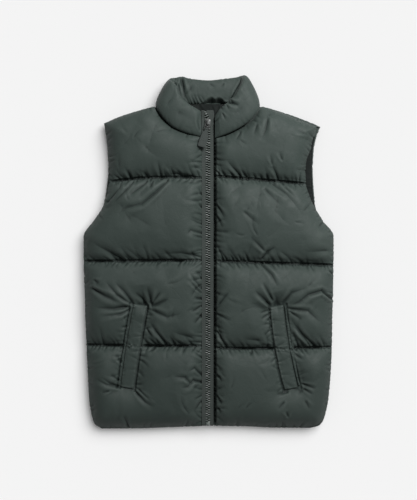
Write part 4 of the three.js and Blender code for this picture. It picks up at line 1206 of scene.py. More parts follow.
def foldedFront(side, fine):
    # its creases, from the loose ones in the open cloth to the stitched lines
    spec = frontCloth
    across = np.linspace(0, 1, 40)
    seamLines = [frontLine(side, row, across) for row in (1, 2, 3)]
    stitched = [(line, spec["softWide"], spec["softDeep"]) for line in seamLines]
    stitched += [(line, spec["grooveWide"], spec["grooveDeep"]) for line in seamLines]
    rng = np.random.default_rng(21 if side == "right" else 22)
    low, high = ((-255, -370), (-30, 290)) if side == "right" else ((30, -370), (255, 290))
    main = [(line, wide, deep * spec["mainDeep"]) for line, wide, deep in fromHold(side, mainFolds[side])]
    loose = looseFolds(rng, 14, low, high, (30, 80), (5, 10), (0.4, 1.1))
    loose += looseFolds(rng, 26, low, high, (22, 60), (2.4, 4.2), (0.4, 1.2))
    loose += looseFolds(rng, 18, low, high, (50, 120), (11, 20), (0.8, 2.4))
    fine = creased(fine, loose)
    fine = creased(fine, main)
    fine = creased(fine, seamPuckers(side))
    if side == "left":
        # the cloth rolls down beside the tape here and leaves a dark gap
        beside = frontPlan(side, np.array([0.0]), np.linspace(0, 4, 90))[:, 0] + np.array([spec["gapAt"], 0])
        stitched.append((beside, spec["gapWide"], spec["gapDeep"]))
    return creased(fine, stitched + weltGrooves(side), even=True)


def buildFront(side):
    spec = frontCloth
    fine = foldedFront(side, filledFront(side))
    inset = underInset(side)
    # the inside steps down from the rim to just above the back
    skirt = [(lambda edge: 0.25 * inset(edge), 24.4), (lambda edge: 0.6 * inset(edge), 22.8), (inset, 21.8)]
    panel = closedPanel(f"front_{side}_cloth", fine, skirt, 1)
    normals = gridNormals(fine, 1)
    markRidges(panel, ridges(fine, normals))
    dress(panel, "vest", [f"front_{side}"], shellNylon)
    rows = [row * spec["rowsPerBaffle"] * spec["finer"] for row in (1, 2, 3)]
    seams = [(fine[r, 2:-2] + normals[r, 2:-2] * 0.15, normals[r, 2:-2]) for r in rows]
    return fine, seams


fronts, stitchLines = {}, []
for side in ("right", "left"):
    fronts[side], seams = buildFront(side)
    stitchLines += seams


# back
backCloth = {"columns": 240, "rowsPerBaffle": 76, "rim": 12.0, "seam": 9.0, "belly": -7.0}


def backUnder(plan):
    # the quilted back pressed on the floor: flat bellies between raised quilting lines
    points = plan.reshape(-1, 2)
    across = np.linspace(0, 1, 49)
    edge = backPlan(np.array([0.0, 1.0]), np.linspace(0, 4, 97))
    free = np.minimum(distanceToLine(points, edge[:, 0]), distanceToLine(points, edge[:, 1]))
    free = np.minimum(free, distanceToLine(points, backLine(0, across)))
    free = np.minimum(free, distanceToLine(points, backTopEdge(across)))
    quilt = np.min([np.abs(points[:, 1] - y) for y in backQuilting], axis=0)
    full = rise(free, 34, 2.3) * rise(quilt, 44, 2.4)
    held = backCloth["rim"] + (backCloth["seam"] - backCloth["rim"]) * rise(free, 18, 2)
    return (held + (backCloth["belly"] - held) * full).reshape(plan.shape[:2])


def buildBack():
    spec = backCloth
    plan = backPlan(crowded(spec["columns"], 0.3), baffleRows(spec["rowsPerBaffle"]))
    under = np.dstack([plan, backUnder(plan)])
    rng = np.random.default_rng(31)
    across = np.linspace(0.02, 0.98, 60)
    folds = []
    for row in (1, 2, 3):
        seam = backLine(row, across)
        folds += puckers(rng, seam, (0, 1), (6, 16), (10, 42), (2, 3.6), (0.8, 3.0), 12, 20)
        folds += puckers(rng, seam, (0, -1), (6, 16), (10, 42), (2, 3.6), (0.8, 3.0), -12, 20)
        folds.append((seam, 2.2, 2.6))
    edges = backPlan(np.array([0.0, 1.0]), np.linspace(0.05, 3.95, 120))
    folds += puckers(rng, edges[:, 0], (1, 0), (6, 16), (8, 26), (1.8, 3), (0.6, 2.0), 0, 24)
    folds += puckers(rng, edges[:, 1], (-1, 0), (6, 16), (8, 26), (1.8, 3), (0.6, 2.0), 0, 24)
    top = backTopEdge(np.linspace(0.03, 0.97, 50))
    folds += puckers(rng, top, (0, -1), (8, 18), (8, 22), (1.8, 2.8), (0.5, 1.5), 0, 20)
    folds += looseFolds(rng, 60, (-250, -360), (250, 290), (30, 90), (4, 8), (0.8, 2.4))
    under = creased(under, folds, -1)
    low = under[..., 2]
    under[..., 2] = np.maximum(0.5 * (low + np.sqrt(low**2 + 4)) - 0.12, 0)
    panel = closedPanel("back_cloth", under, [(0.5, 15), (1.6, 18), (3.2, 20.2), (5.2, 21.3)], -1)
    normals = gridNormals(under, -1)
    markRidges(panel, ridges(under, normals))
    dress(panel, "vest", ["back"], shellNylon)
    rows = [row * spec["rowsPerBaffle"] for row in (1, 2, 3)]
    return [(under[r, 3:-3] + normals[r, 3:-3] * 0.15, normals[r, 3:-3]) for r in rows]


stitchLines += buildBack()


# stand collar
collarCloth = {"sections": 400, "around": 104}
# the band's middle line from the right zip edge round to the left: seam end, top end and thickness
collarStations = [
    (-16, 248.5, 34, -17, 303, 39, 9), (-30, 251.5, 36.5, -26, 309, 41, 19),
    (-52, 257.5, 38, -42, 318, 42, 22), (-78, 269.5, 39, -58, 333, 42, 23),
    (-97.5, 288, 38, -66.5, 352, 41, 23), (-108, 303, 35, -75, 366.5, 37, 23),
    (-111, 313, 25, -79, 373.5, 25, 23), (-106, 319.5, 13.5, -74, 380, 13, 22),
    (-84, 321.5, 10.5, -62, 382.5, 10.5, 22), (-45, 322.5, 10.5, -34, 378, 10.5, 23),
    (0, 323, 10.5, 0, 375, 10.5, 23), (45, 322.5, 10.5, 34, 378.5, 10.5, 23),
    (84, 321.5, 10.5, 62, 382, 10.5, 22), (103, 318.5, 13.5, 72.5, 385, 13, 22),
    (107.5, 312, 25, 75.5, 381.5, 25, 23), (104, 301, 35, 70.5, 366, 37, 23),
    (93, 286.5, 38, 61, 349, 41, 23), (74, 271.5, 39, 50, 331, 41, 23),
    (50, 258.5, 38, 36, 318, 41, 22), (27, 249.5, 36, 22, 305, 40, 19),
    (14, 246, 34, 14.5, 294, 38, 9),
]
# folds on the side of the collar that faces up: (line, width, depth)
collarFolds = [
    ([(-16, 324), (-20, 333), (-26, 344)], 1.6, 2.2),
    ([(-23, 323), (-28, 334), (-33, 345)], -1.5, 2.4),
    ([(-30, 323), (-35, 333), (-41, 346)], 1.6, 2.6),
    ([(-37, 323), (-41, 333), (-46, 344)], -1.4, 2.2),
    ([(-43, 324), (-47, 333), (-51, 342)], 1.5, 2.4),
    ([(-9, 326), (-13, 335), (-19, 343)], 1.5, 1.6),
    ([(-58, 377), (-57, 362), (-54, 346), (-51, 327)], 3.2, 6.5),
    ([(-65, 364), (-64, 350), (-61, 336)], -2.4, 4.5),
    ([(-61, 378), (-60, 364), (-58, 350)], 2, 2.5),
    ([(-80, 373), (-73, 364), (-66, 350)], 2.2, 2.6),
    ([(-84, 375), (-78, 369)], 2, 2),
    ([(-50, 344), (-42, 352), (-34, 366)], 3.5, 2),
    ([(50, 331), (63, 353), (77, 376)], 2.2, 4.5),
    ([(32, 324), (50, 320), (66, 314)], 2.4, 8),
    ([(25, 312), (32, 304)], 1.7, 2),
    ([(30, 297), (36, 284)], 1.8, 2.2),
    ([(38, 317), (44, 305)], 2, 1.8),
    ([(47, 328), (52, 317)], 2, 1.4),
    ([(33, 366), (26, 357)], 2.2, 1.6),
    ([(-32, 311), (-22, 301)], 2, 1.4),
    ([(-19, 262), (-22, 280), (-19, 298)], 2.4, 1.8),
    ([(14, 280), (22, 288), (24, 300)], 2.2, 2),
    ([(56, 333), (70, 350)], 4, 1.6),
    ([(-66, 300), (-44, 288)], 6, 1.2),
    ([(60, 300), (84, 322)], 6, 1.2),
    ([(-88, 318), (-70, 345)], 5, 1.2),
    ([(3, 366), (16, 356)], 3, 1.3),
]
# the band's foot lifts off the neck facing here and leaves a dark gap: rows of (x, height of the gap)
collarGap = {"high": [(-16, 0), (-8, 5), (0, 11), (7, 13), (14, 9), (21, 12), (29, 10), (35, 4), (40, 0)],
             "footY": 322, "deep": 15}


def smoothPath(points, count):
    # centripetal curve through points, evenly read by its own parameter
    points = np.asarray(points, float)
    out = []
    extended = np.vstack([2 * points[0] - points[1], points, 2 * points[-1] - points[-2]])
    for at in np.linspace(0, len(points) - 1, count):
        i = min(int(at), len(points) - 2)
        p0, p1, p2, p3 = extended[i:i + 4]
        d = [max(np.linalg.norm(b - a), 1e-6) ** 0.5 for a, b in ((p0, p1), (p1, p2), (p2, p3))]
        m1 = ((p1 - p0) / d[0] - (p2 - p0) / (d[0] + d[1]) + (p2 - p1) / d[1]) * d[1]
        m2 = ((p2 - p1) / d[1] - (p3 - p1) / (d[1] + d[2]) + (p3 - p2) / d[2]) * d[1]
        t = at - i
        out.append(p1 * (2 * t**3 - 3 * t**2 + 1) + m1 * (t**3 - 2 * t**2 + t)
                   + p2 * (3 * t**2 - 2 * t**3) + m2 * (t**3 - t**2))
    return np.array(out)


def collarBand(spec):
    # rings round the padded band, with the place of each point on the unrolled band
    table = np.array(collarStations, float)
    base = smoothPath(table[:, 0:3], spec["sections"])
    top = smoothPath(table[:, 3:6], spec["sections"])
    thick = np.interp(np.linspace(0, len(table) - 1, spec["sections"]), np.arange(len(table)), table[:, 6])
    middle = (base + top) / 2
    ruling = top - base
    outward = unit(np.cross(ruling, np.gradient(middle, axis=0)))
    angle = 2 * np.pi * np.arange(spec["around"]) / spec["around"]
    share = 0.5 - 0.5 * np.sign(np.cos(angle)) * np.abs(np.cos(angle)) ** 0.8
    puff = np.sign(np.sin(angle)) * np.abs(np.sin(angle)) ** 0.7
    grid = (base[:, None] + ruling[:, None] * share[None, :, None]
            + outward[:, None] * (puff[None, :, None] * thick[:, None, None] / 2))
    run = np.concatenate([[0], np.cumsum(np.linalg.norm(np.diff(middle, axis=0), axis=1))])
    high = np.linalg.norm(ruling, axis=1)
    # the inner face is drawn 100 mm below the outer one
    side = np.where(np.sin(angle) >= 0, 0, -100)
    plan = np.stack([np.repeat(run[:, None], len(angle), 1), share[None] * high[:, None] + side[None]], -1)
    return grid, middle, plan, run[-1]


def bandNormals(grid, middle):
    normal = unit(np.cross(np.gradient(grid, axis=0), np.roll(grid, -1, 1) - np.roll(grid, 1, 1)))
    inwards = np.sum((grid - middle[:, None]) * normal, axis=2).mean() < 0
    return -normal if inwards else normal, inwards


def buildCollar():
    grid, middle, plan, length = collarBand(collarCloth)
    normal, inwards = bandNormals(grid, middle)
    rng = np.random.default_rng(5)
    folds = []
    # the outer face is smoother than the inner one
    for offset, share in ((0, 0.4), (-100, 0.8)):
        foot = [(k, offset + 1) for k in np.linspace(2, length - 2, 60)]
        folds += puckers(rng, foot, (0, 1), (7, 20), (7, 26), (1.4, 2.6), (0.4 * share, 1.8 * share), 0, 18)
        lip = [(k, offset + 61) for k in np.linspace(2, length - 2, 60)]
        folds += puckers(rng, lip, (0, -1), (9, 24), (6, 18), (1.4, 2.4), (0.3 * share, 1.2 * share), 0, 18)
    folds += looseFolds(rng, 8, (10, 8), (length - 10, 54), (20, 50), (5, 9), (0.2, 0.6))
    folds += looseFolds(rng, 6, (10, -92), (length - 10, -46), (20, 50), (5, 9), (0.3, 0.8))
    points = pressed(grid.reshape(-1, 3), normal.reshape(-1, 3), plan.reshape(-1, 2), folds)
    seen = np.flatnonzero(normal.reshape(-1, 3)[:, 2] > 0.1)
    points[seen] = pressed(points[seen], normal.reshape(-1, 3)[seen], points[seen][:, :2], collarFolds)
    gap = collarGap
    x, y, z = points[seen].T
    high = curveThrough(gap["high"], x)
    lifted = smoothStep(high / 4) * smoothStep(1.3 - (y - gap["footY"]) / np.maximum(high, 1)) * (z < 24)
    points[seen, 2] -= lifted * gap["deep"]
    points[:, 2] = np.maximum(points[:, 2], 0)
    faces = tubeFaces(*grid.shape[:2], not inwards)
    band = meshObject("collar_cloth", points, faces, mend=True)
    shaped = points.reshape(grid.shape)
    markRidges(band, ridges(shaped, bandNormals(shaped, middle)[0], wrap=True))
    dress(band, "vest", ["collar"], shellNylon)


buildCollar()


# facings: thin cloth inside the neck and the armholes
facings = {"level": 21.75, "thick": 0.9, "wave": 1.1, "armholeWidth": 14, "edgeIn": 3.4}


def buildNeckFacing():
    # a half-moon that runs under the collar's foot
    u = np.linspace(-1, 1, 104)
    v = np.linspace(0, 1, 46)
    outer = np.stack([84 * u, 314 + 7.5 * (1 - u**2)], -1)
    inner = np.stack([84 * u, 308 - 49 * (1 - u**2) ** 0.8], -1)
    plan = inner[None] + (outer - inner)[None] * v[:, None, None]
    inside = np.sin(np.pi * np.clip(v, 0, 1))[:, None] * (1 - u**2)[None]
    lift = facings["wave"] * inside * (1 + np.sin(plan[..., 0] / 9 + 1.3 * np.sin(plan[..., 1] / 11)))
    top = np.dstack([plan, facings["level"] + facings["thick"] + lift])
    folds = [
        ([(-20, 318), (-9, 300), (-4, 282)], 2.4, 1.6),
        ([(8, 316), (12, 300)], 2, 1.2),
        ([(-34, 314), (-24, 298)], 2.2, 1.2),
        ([(22, 316), (20, 296), (26, 284)], 2.2, 1.4),
    ]
    top = creased(top, folds)
    top[..., 2] = np.maximum(top[..., 2], facings["level"] + 0.5)
    bottom = top.copy()
    bottom[..., 2] = np.maximum(top[..., 2] - facings["thick"], facings["level"] - 0.05)
    piece = closedShell("neck_facing_cloth", top, bottom)
    markRidges(piece, ridges(top, gridNormals(top, 1)))
    dress(piece, "vest", ["neck_facing"], facingNylon)


def buildArmholeFacing(side):
    sign = sideSign[side]
    y = np.linspace(86, 256 if side == "right" else 250, 150)
    out = curveThrough(backEdge[side], y) - facings["edgeIn"]
    across = np.linspace(0, 1, 16)
    x = sign * (out[:, None] - facings["armholeWidth"] * across[None])
    wave = 0.35 * waviness(60 + sign, len(y), 6)[:, None] * np.sin(np.pi * across)[None]
    roll = 0.5 * np.exp(-((across - 0.06) / 0.08) ** 2)
    lift = facings["level"] + 0.75 + np.abs(wave) + roll[None]
    top = np.dstack([x, np.repeat(y[:, None], len(across), 1), lift])
    bottom = top.copy()
    bottom[..., 2] = facings["level"] - 0.05
    piece = closedShell(f"armhole_facing_{side}_cloth", top, bottom)
    markRidges(piece, np.zeros(top.shape[:2]))
    dress(piece, "vest", [f"armhole_facing_{side}"], facingNylon)
    edge = top[:, 4]
    return edge, np.tile([0.0, 0.0, 1.0], (len(edge), 1))


buildNeckFacing()
stitchLines += [buildArmholeFacing(side) for side in ("right", "left")]


# pockets: a padded welt and the bunched piping along its outer edge
# folds across the welts: (share along from the top, lean, width, depth)
weltFolds = {
    "right": [
        (0.2, -0.35, 3, 0.6), (0.39, 0.3, 2.4, 1.0), (0.56, 0.25, 2.6, 1.2), (0.62, -0.3, 2.4, 0.8),
        (0.78, 0.2, 3, 0.7),
    ],
    "left": [
        (0.17, 0.3, 2.4, 0.8), (0.35, 0.25, 2.4, 1.0), (0.45, -0.35, 2.4, 1.6), (0.5, 0.2, 2.2, 1.4),
        (0.55, 0.3, 2.2, 1.0), (0.64, -0.25, 2.4, 0.9), (0.82, 0.2, 3, 0.7),
    ],
}


def frontBed(side):
    # reads the height of a finished front at a place in plan
    grid = fronts[side]
    tree = BVHTree.FromPolygons(grid.reshape(-1, 3).tolist(), gridFaces(*grid.shape[:2]))

    def height(x, y):
        hit = tree.ray_cast(Vector((float(x), float(y), 100)), Vector((0, 0, -1)))[0]
        return hit.z if hit else levels["quilt"]

    return height


def stripOnFront(name, side, height, across, puff, shape, folds, shortened, columns, belly=0):
    # a padded strip along the welt; across gives its two edges measured from the welt's middle
    top, down, over = weltFrame(side)
    spec = pocket
    a = np.linspace(shortened, welts[side]["length"] - shortened, spec["rows"])
    b = np.linspace(-1, 1, columns)
    swell = belly * np.sin(np.pi * a / welts[side]["length"]) ** 2
    middle = (sum(across) / 2 + swell / 2 + weltBow(side, a))[:, None]
    half = (across[1] - across[0]) / 2
    ends = np.clip(np.minimum(a - a[0], a[-1] - a) / 5, 0, 1)
    width = half * (0.9 + 0.1 * np.sqrt(1 - (1 - ends) ** 2)) + 0.25 * waviness(71 + len(name), len(a), 12)
    width = width + swell / 2
    plan = top + down * a[:, None, None] + over * (middle + width[:, None] * b[None])[..., None]
    bed = np.array([[height(*plan[i, j]) for j in range(0, len(b), 4)] for i in range(0, len(a), 4)])
    bed = np.maximum(bed, levels["weltBed"] - 1.2)
    rowsAt, columnsAt = np.arange(0, len(a), 4), np.arange(0, len(b), 4)
    bed = np.array([np.interp(np.arange(len(b)), columnsAt, line) for line in bed])
    bed = np.array([np.interp(np.arange(len(a)), rowsAt, line) for line in bed.T]).T
    crown = (1 - np.abs(b) ** shape) ** 0.55
    rounded = np.sqrt(1 - (1 - ends) ** 2)
    up = bed + 0.2 + puff * crown[None] * rounded[:, None]
    points = np.dstack([plan, up]).reshape(-1, 3)
    upwards = np.tile([0.0, 0.0, 1.0], (up.size, 1))
    unrolled = np.stack([np.repeat(a[:, None], len(b), 1), width[:, None] * b[None]], -1).reshape(-1, 2)
    surface = pressed(points, upwards, unrolled, folds(a, half)).reshape(*up.shape, 3)
    surface[..., 2] = np.maximum(surface[..., 2], bed + 0.2)
    bottom = surface.copy()
    bottom[..., 2] = bed - spec["sunk"]
    piece = closedShell(name, surface, bottom)
    markRidges(piece, ridges(surface, gridNormals(surface, 1)))
    return piece, surface


def buildPocket(side):
    height = frontBed(side)
    half = welts[side]["width"] / 2
    rng = np.random.default_rng(83 if side == "right" else 84)

    def onWelt(a, reach):
        made = []
        for share, lean, wide, deep in weltFolds[side]:
            at = a[0] + share * (a[-1] - a[0])
            line = [(at - lean * reach, -reach), (at + rng.uniform(-2, 2), 0), (at + lean * reach, reach)]
            made.append((line, wide, deep))
        for edge in (-reach, reach):
            seam = [(k, edge) for k in np.linspace(a[0] + 2, a[-1] - 2, 40)]
            made += puckers(rng, seam, (0, -edge), (5, 15), (4, 10), (1.1, 1.9), (0.2, 0.8), 0, 20)
        return made

    def onPiping(a, reach):
        made = []
        at = a[0] + 2
        while at < a[-1]:
            lean = rng.uniform(-1.6, 1.6)
            wide, deep = rng.uniform(1, 1.8), rng.uniform(0.3, 1.1)
            made.append(([(at - lean, -reach), (at + lean, reach)], wide, deep))
            at += rng.uniform(4, 13)
        return made

    across = (-half, half)
    welt, surface = stripOnFront(f"welt_{side}_cloth", side, height, across, pocket["puff"], 4,
                                 onWelt, 0, pocket["columns"])
    dress(welt, "vest", [f"welt_{side}"], shellNylon)
    inner = half + pocket["pipeGap"]
    across = (inner, inner + pocket["pipeWidth"])
    pipe, _ = stripOnFront(f"pocket_lip_{side}_cloth", side, height, across, pocket["pipeHigh"], 2,
                           onPiping, 4, pocket["pipeColumns"], pocket["belly"][side])
    dress(pipe, "vest", [f"pocket_lip_{side}"], shellNylon)
    normals = gridNormals(surface, 1)
    return [(surface[6:-6, c] + normals[6:-6, c] * 0.1, normals[6:-6, c]) for c in (3, -4)]


for side in ("right", "left"):
    stitchLines += buildPocket(side)


# zip: the tapes' edges from the zip's middle line, (y, teeth edge, sewn edge, level)
zipLine = {"x": -1.5, "pitch": 5.08, "thick": 1.1, "foot": -380, "teethFoot": -371, "level": 33}
tapeRows = {
    "right": [(-380, 4.8, 13.4, 33), (244, 4.8, 13.4, 33), (268, 4.8, 13.5, 33), (281, 6.2, 13.6, 33),
              (289, 7.0, 13.8, 33.2), (296, 7.4, 14.0, 34.6), (306, 7.8, 14.2, 36.8)],
    "left": [(-380, 4.8, 12.0, 33), (244, 4.8, 12.0, 33), (268, 4.8, 12.4, 33), (281, 5.6, 13.4, 33.4),
             (289, 3.4, 14.0, 34.6), (297, -0.6, 13.4, 36), (306, -3.2, 12.0, 37.4)],
}


def tapeEdges(side, y):
    rows = np.array(tapeRows[side], float)
    teeth, sewn, level = [curveThrough(rows[:, [0, k]].tolist(), y) for k in (1, 2, 3)]
    return zipLine["x"] + sideSign[side] * teeth, zipLine["x"] + sideSign[side] * sewn, level


def buildTape(side):
    # finer where the tape bends away beside the slider
    y = np.concatenate([np.linspace(zipLine["foot"], 262, 300), np.linspace(263, 305.5, 44)])
    teeth, sewn, level = tapeEdges(side, y)
    across = np.linspace(0, 1, 18)
    x = mix(teeth[:, None], sewn[:, None], across[None])
    bead = 0.45 * np.exp(-((across - 0.05) / 0.05) ** 2)
    groove = -0.22 * np.exp(-((across - 0.72) / 0.04) ** 2)
    wave = 0.3 * waviness(90 + sideSign[side], len(y), 9)[:, None] * np.sin(np.pi * across)[None]
    edge = 1 - np.clip(1 - across / 0.03, 0, 1) * 0.5
    top = level[:, None] + (zipLine["thick"] / 2 * edge + bead + groove)[None] + wave
    surface = np.dstack([x, np.repeat(y[:, None], len(across), 1), top])
    bottom = surface.copy()
    bottom[..., 2] = (level - zipLine["thick"] / 2)[:, None]
    piece = closedShell(f"zip_tape_{side}_cloth", surface, bottom)
    dress(piece, "vest", [f"zip_tape_{side}"], tapeCloth)
    line = surface[4:-4, 13] + np.array([0, 0, 0.1])
    return line, np.tile([0.0, 0.0, 1.0], (len(line), 1))


def buildTeeth(side, stamp):
    late = 0.5 if side == "right" else 0
    y = np.arange(zipLine["teethFoot"] + late * zipLine["pitch"], 304, zipLine["pitch"] / 4)
    y = y[: (len(y) - 1) // 4 * 4 + 1]
    teeth, _, level = tapeEdges(side, y)
    line = np.stack([teeth, y, level + 0.1], -1)
    out = np.tile([0.0, 0.0, 1.0], (len(line), 1))
    if side == "right":
        line = line[::-1]
    name = f"zip_teeth_{side}_moulded"
    piece = stamped(name, [(line, out)], stamp, zipLine["pitch"], 0.0, 1, teethPlastic)
    piece.data.shade_flat()
    dress(piece, "vest", [f"zip_teeth_{side}"], None)


def rounded(corners, radius, steps=4):
    # a closed outline with its corners rounded
    corners = [np.array(corner, float) for corner in corners]
    out = []
    for k, here in enumerate(corners):
        before, after = corners[k - 1], corners[(k + 1) % len(corners)]
        reach = min(radius, np.linalg.norm(before - here) / 2.2, np.linalg.norm(after - here) / 2.2)
        a, b = here + unit(before - here) * reach, here + unit(after - here) * reach
        for t in np.linspace(0, 1, steps + 1):
            out.append(a * (1 - t) ** 2 + here * 2 * t * (1 - t) + b * t**2)
    return np.array(out)


def bevelledPlate(outline, low, high, bevel, inset=None):
    # points and faces of a plate with softened edges, both ways up
    middle = outline.mean(0)
    small = middle + (outline - middle) * (1 - (inset or bevel) / np.abs(outline - middle).max())
    rings = [(small, low), (outline, low + bevel), (outline, high - bevel), (small, high)]
    points = np.vstack([np.column_stack([ring, np.full(len(ring), z)]) for ring, z in rings])
    return points, tubeFaces(4, len(outline))


def joined(parts):
    # several shells as one list of points and faces
    points, faces = [], []
    for more, theirs in parts:
        first = sum(len(p) for p in points)
        points.append(np.asarray(more, float))
        faces += [[i + first for i in face] for face in theirs]
    return np.vstack(points), faces


slider = {
    "y": 278, "length": 20, "width": 13, "plate": 1.6, "bridgeLength": 11, "bridgeWidth": 3.6, "rise": 4.3,
    "half": 2.4,
}


def sliderBridge(foot):
    # a flat bar bent over from the tail of the plate to its head
    spec = slider
    reach, high = spec["bridgeLength"] / 2, spec["rise"]
    tail = [(-reach, -0.3), (-reach, high * 0.45), (-reach * 0.86, high * 0.8), (-reach * 0.5, high)]
    head = [(-y, z) for y, z in reversed(tail)]
    arc = smoothPath([(0, y, z) for y, z in tail + [(0, high * 1.02)] + head], 40)
    ahead = unit(np.gradient(arc, axis=0))
    up = np.stack([np.zeros(len(arc)), -ahead[:, 2], ahead[:, 1]], -1)
    wide, thick = spec["bridgeWidth"] / 2, 0.6
    section = rounded([(-wide, -thick), (wide, -thick), (wide, thick), (-wide, thick)], 0.45, 3)
    waist = 1 - 0.16 * np.sin(np.pi * np.linspace(0, 1, len(arc)))
    bar = np.array([[p + np.array([1, 0, 0]) * a * narrow + u * (b - 0.55) for a, b in section]
                    for p, u, narrow in zip(arc, up, waist)])
    bar[..., 2] += foot
    return bar.reshape(-1, 3), tubeFaces(len(arc), len(section))


def buildSlider():
    spec = slider
    w, l = spec["width"], spec["length"]
    half = [(w * 0.33, -l / 2), (w * 0.36, -l * 0.2), (w / 2, l * 0.16), (w / 2, l * 0.34), (w * 0.24, l / 2)]
    outline = rounded(half + [(-x, y) for x, y in reversed(half)], 2.2)
    upper, lower = spec["half"], -spec["half"]
    parts = [bevelledPlate(outline, upper, upper + spec["plate"], 0.45, 0.7),
             bevelledPlate(outline, lower - spec["plate"], lower, 0.45, 0.7)]
    for sign in (-1, 1):
        rail = rounded([(sign * w * 0.36, -l * 0.42), (sign * (w * 0.36 - 1), -l * 0.42),
                        (sign * (w / 2 - 1.1), l * 0.3), (sign * (w / 2 - 0.1), l * 0.3)], 0.4, 2)
        parts.append(bevelledPlate(rail, upper - 1.1, upper + 0.3, 0.15))
    wedge = rounded([(-1.3, l / 2 - 6), (1.3, l / 2 - 6), (1.9, l / 2 - 0.6), (-1.9, l / 2 - 0.6)], 0.6, 3)
    parts.append(bevelledPlate(wedge, lower - 0.1, upper + 0.1, 0.1))
    parts.append(sliderBridge(upper + spec["plate"] - 0.1))
    points, faces = joined(parts)
    points += np.array([zipLine["x"], spec["y"], zipLine["level"]])
    piece = meshObject("zip_slider_metal", points, faces, mend=True)
    dress(piece, "vest", ["zip_slider"], zipMetal)


pullRing = {"wire": 1.6, "innerWidth": 8, "length": 12, "z": 38.55, "yaw": -15, "lift": 3}
pullTab = {
    "length": 42, "topWidth": 13, "endWidth": 18.5, "thick": 2.2, "headWidth": 6.6, "lift": 7, "roll": 5,
    "bore": 1.35, "wall": 1.3,
}


def pullPlace():
    # how the ring lies, and how the tab lies on the ring
    spec = pullRing
    ring = (Matrix.Translation((zipLine["x"], slider["y"] - 1.5, spec["z"]))
            @ Matrix.Rotation(math.radians(spec["yaw"]), 4, "Z")
            @ Matrix.Rotation(math.radians(-spec["lift"]), 4, "X"))
    tab = (ring @ Matrix.Translation((0, -spec["length"], 0))
           @ Matrix.Rotation(math.radians(-pullTab["lift"]), 4, "X")
           @ Matrix.Rotation(math.radians(pullTab["roll"]), 4, "Y"))
    return np.array(ring), np.array(tab)


def moved(points, place):
    return np.asarray(points, float) @ place[:3, :3].T + place[:3, 3]


def buildRing(place):
    spec = pullRing
    half = (spec["innerWidth"] + spec["wire"]) / 2
    outline = rounded([(-half, 0), (half, 0), (half, -spec["length"]), (-half, -spec["length"])], 2.6, 10)
    path = np.column_stack([outline, np.zeros(len(outline))])
    keep = np.linalg.norm(path - np.roll(path, 1, 0), axis=1) > 1e-6
    path = path[keep]
    ahead = unit(np.roll(path, -1, 0) - np.roll(path, 1, 0))
    across = np.stack([-ahead[:, 1], ahead[:, 0], np.zeros(len(path))], -1)
    sides = 12
    angle = 2 * np.pi * np.arange(sides) / sides
    rings = (path[:, None] + across[:, None] * (np.cos(angle)[None, :, None] * spec["wire"] / 2)
             + np.array([0, 0, 1]) * (np.sin(angle)[None, :, None] * spec["wire"] / 2))
    faces = loopFaces(len(path), sides)
    piece = meshObject("pull_ring_wire", moved(rings.reshape(-1, 3), place), faces, mend=True)
    dress(piece, "ring", ["pull_ring"], zipMetal)


def tabHalfWidth(v):
    # half the tab's width at a distance v down from its eye
    spec = pullTab
    start = spec["bore"] + spec["wall"] + 2.4
    rows = [(0, spec["headWidth"] / 2), (start, spec["headWidth"] / 2), (start + 3.2, spec["topWidth"] / 2),
            (spec["length"] - 2.5, spec["endWidth"] / 2 - 0.1), (spec["length"], spec["endWidth"] / 2 - 1.8)]
    return curveThrough(rows, v)


def buildTab(place):
    spec = pullTab
    outer = spec["bore"] + spec["wall"]
    v = np.concatenate([np.linspace(outer * 0.8, 9, 14), np.linspace(9.8, spec["length"] - 2.2, 44),
                        np.linspace(spec["length"] - 1.8, spec["length"], 6)])
    b = np.linspace(-1, 1, 33)
    half = tabHalfWidth(v)
    rim = (1 - np.abs(b) ** 14) ** 0.5
    ends = np.clip((spec["length"] - v) / 1.2, 0, 1) ** 0.5
    body = spec["thick"] / 2 * np.maximum(rim[None] * ends[:, None], 0.12)
    # pressed in a little along the sewn box, and a fold over the webbing's head
    line = np.exp(-(((np.abs(b) - 0.78) / 0.07) ** 2))[None] * (v > 12)[:, None]
    box = np.exp(-(((v - 28) / 0.7) ** 2))[:, None] * (np.abs(b) < 0.8)[None]
    sag = 0.5 * np.sin(v / spec["length"] * math.pi * 1.1)[:, None] + 0.25 * (b**2)[None]
    x = half[:, None] * b[None]
    y = np.repeat(-v[:, None], len(b), 1)
    top = np.dstack([x, y, body - 0.22 * np.maximum(line, box) + sag * 0.4])
    bottom = np.dstack([x, y, -body + sag * 0.4])
    shell = (np.vstack([top.reshape(-1, 3), bottom.reshape(-1, 3)]), shellFaces(*top.shape[:2]))
    sides, width = 24, spec["headWidth"] / 2 - 0.15
    angle = 2 * np.pi * np.arange(sides) / sides
    profile = [(width, spec["bore"]), (width, outer - 0.3), (width - 0.3, outer), (-width + 0.3, outer),
               (-width, outer - 0.3), (-width, spec["bore"])]
    eye = np.array([[(x0, r * math.cos(t), r * math.sin(t)) for x0, r in profile] for t in angle])
    points, faces = joined([shell, (eye.reshape(-1, 3), loopFaces(sides, len(profile)))])
    piece = meshObject("pull_tab_webbing", moved(points, place), faces, mend=True)
    dress(piece, "tab", ["pull_tab"], tabCloth)
    # the stitched box: two lines down the tab and three across it
    up = place[:3, 2]
    level = spec["thick"] / 2 + 0.1
    down = np.linspace(12, spec["length"] - 3, 30)
    rows = [np.stack([sign * tabHalfWidth(down) * 0.78, -down, np.full(30, level)], -1) for sign in (-1, 1)]
    for at in (12, 28, spec["length"] - 3):
        reach = float(tabHalfWidth(np.array([at]))[0]) * 0.78
        rows.append(np.stack([np.linspace(-reach, reach, 12), np.full(12, -at), np.full(12, level)], -1))
    return [(moved(row, place), np.tile(up, (len(row), 1))) for row in rows]


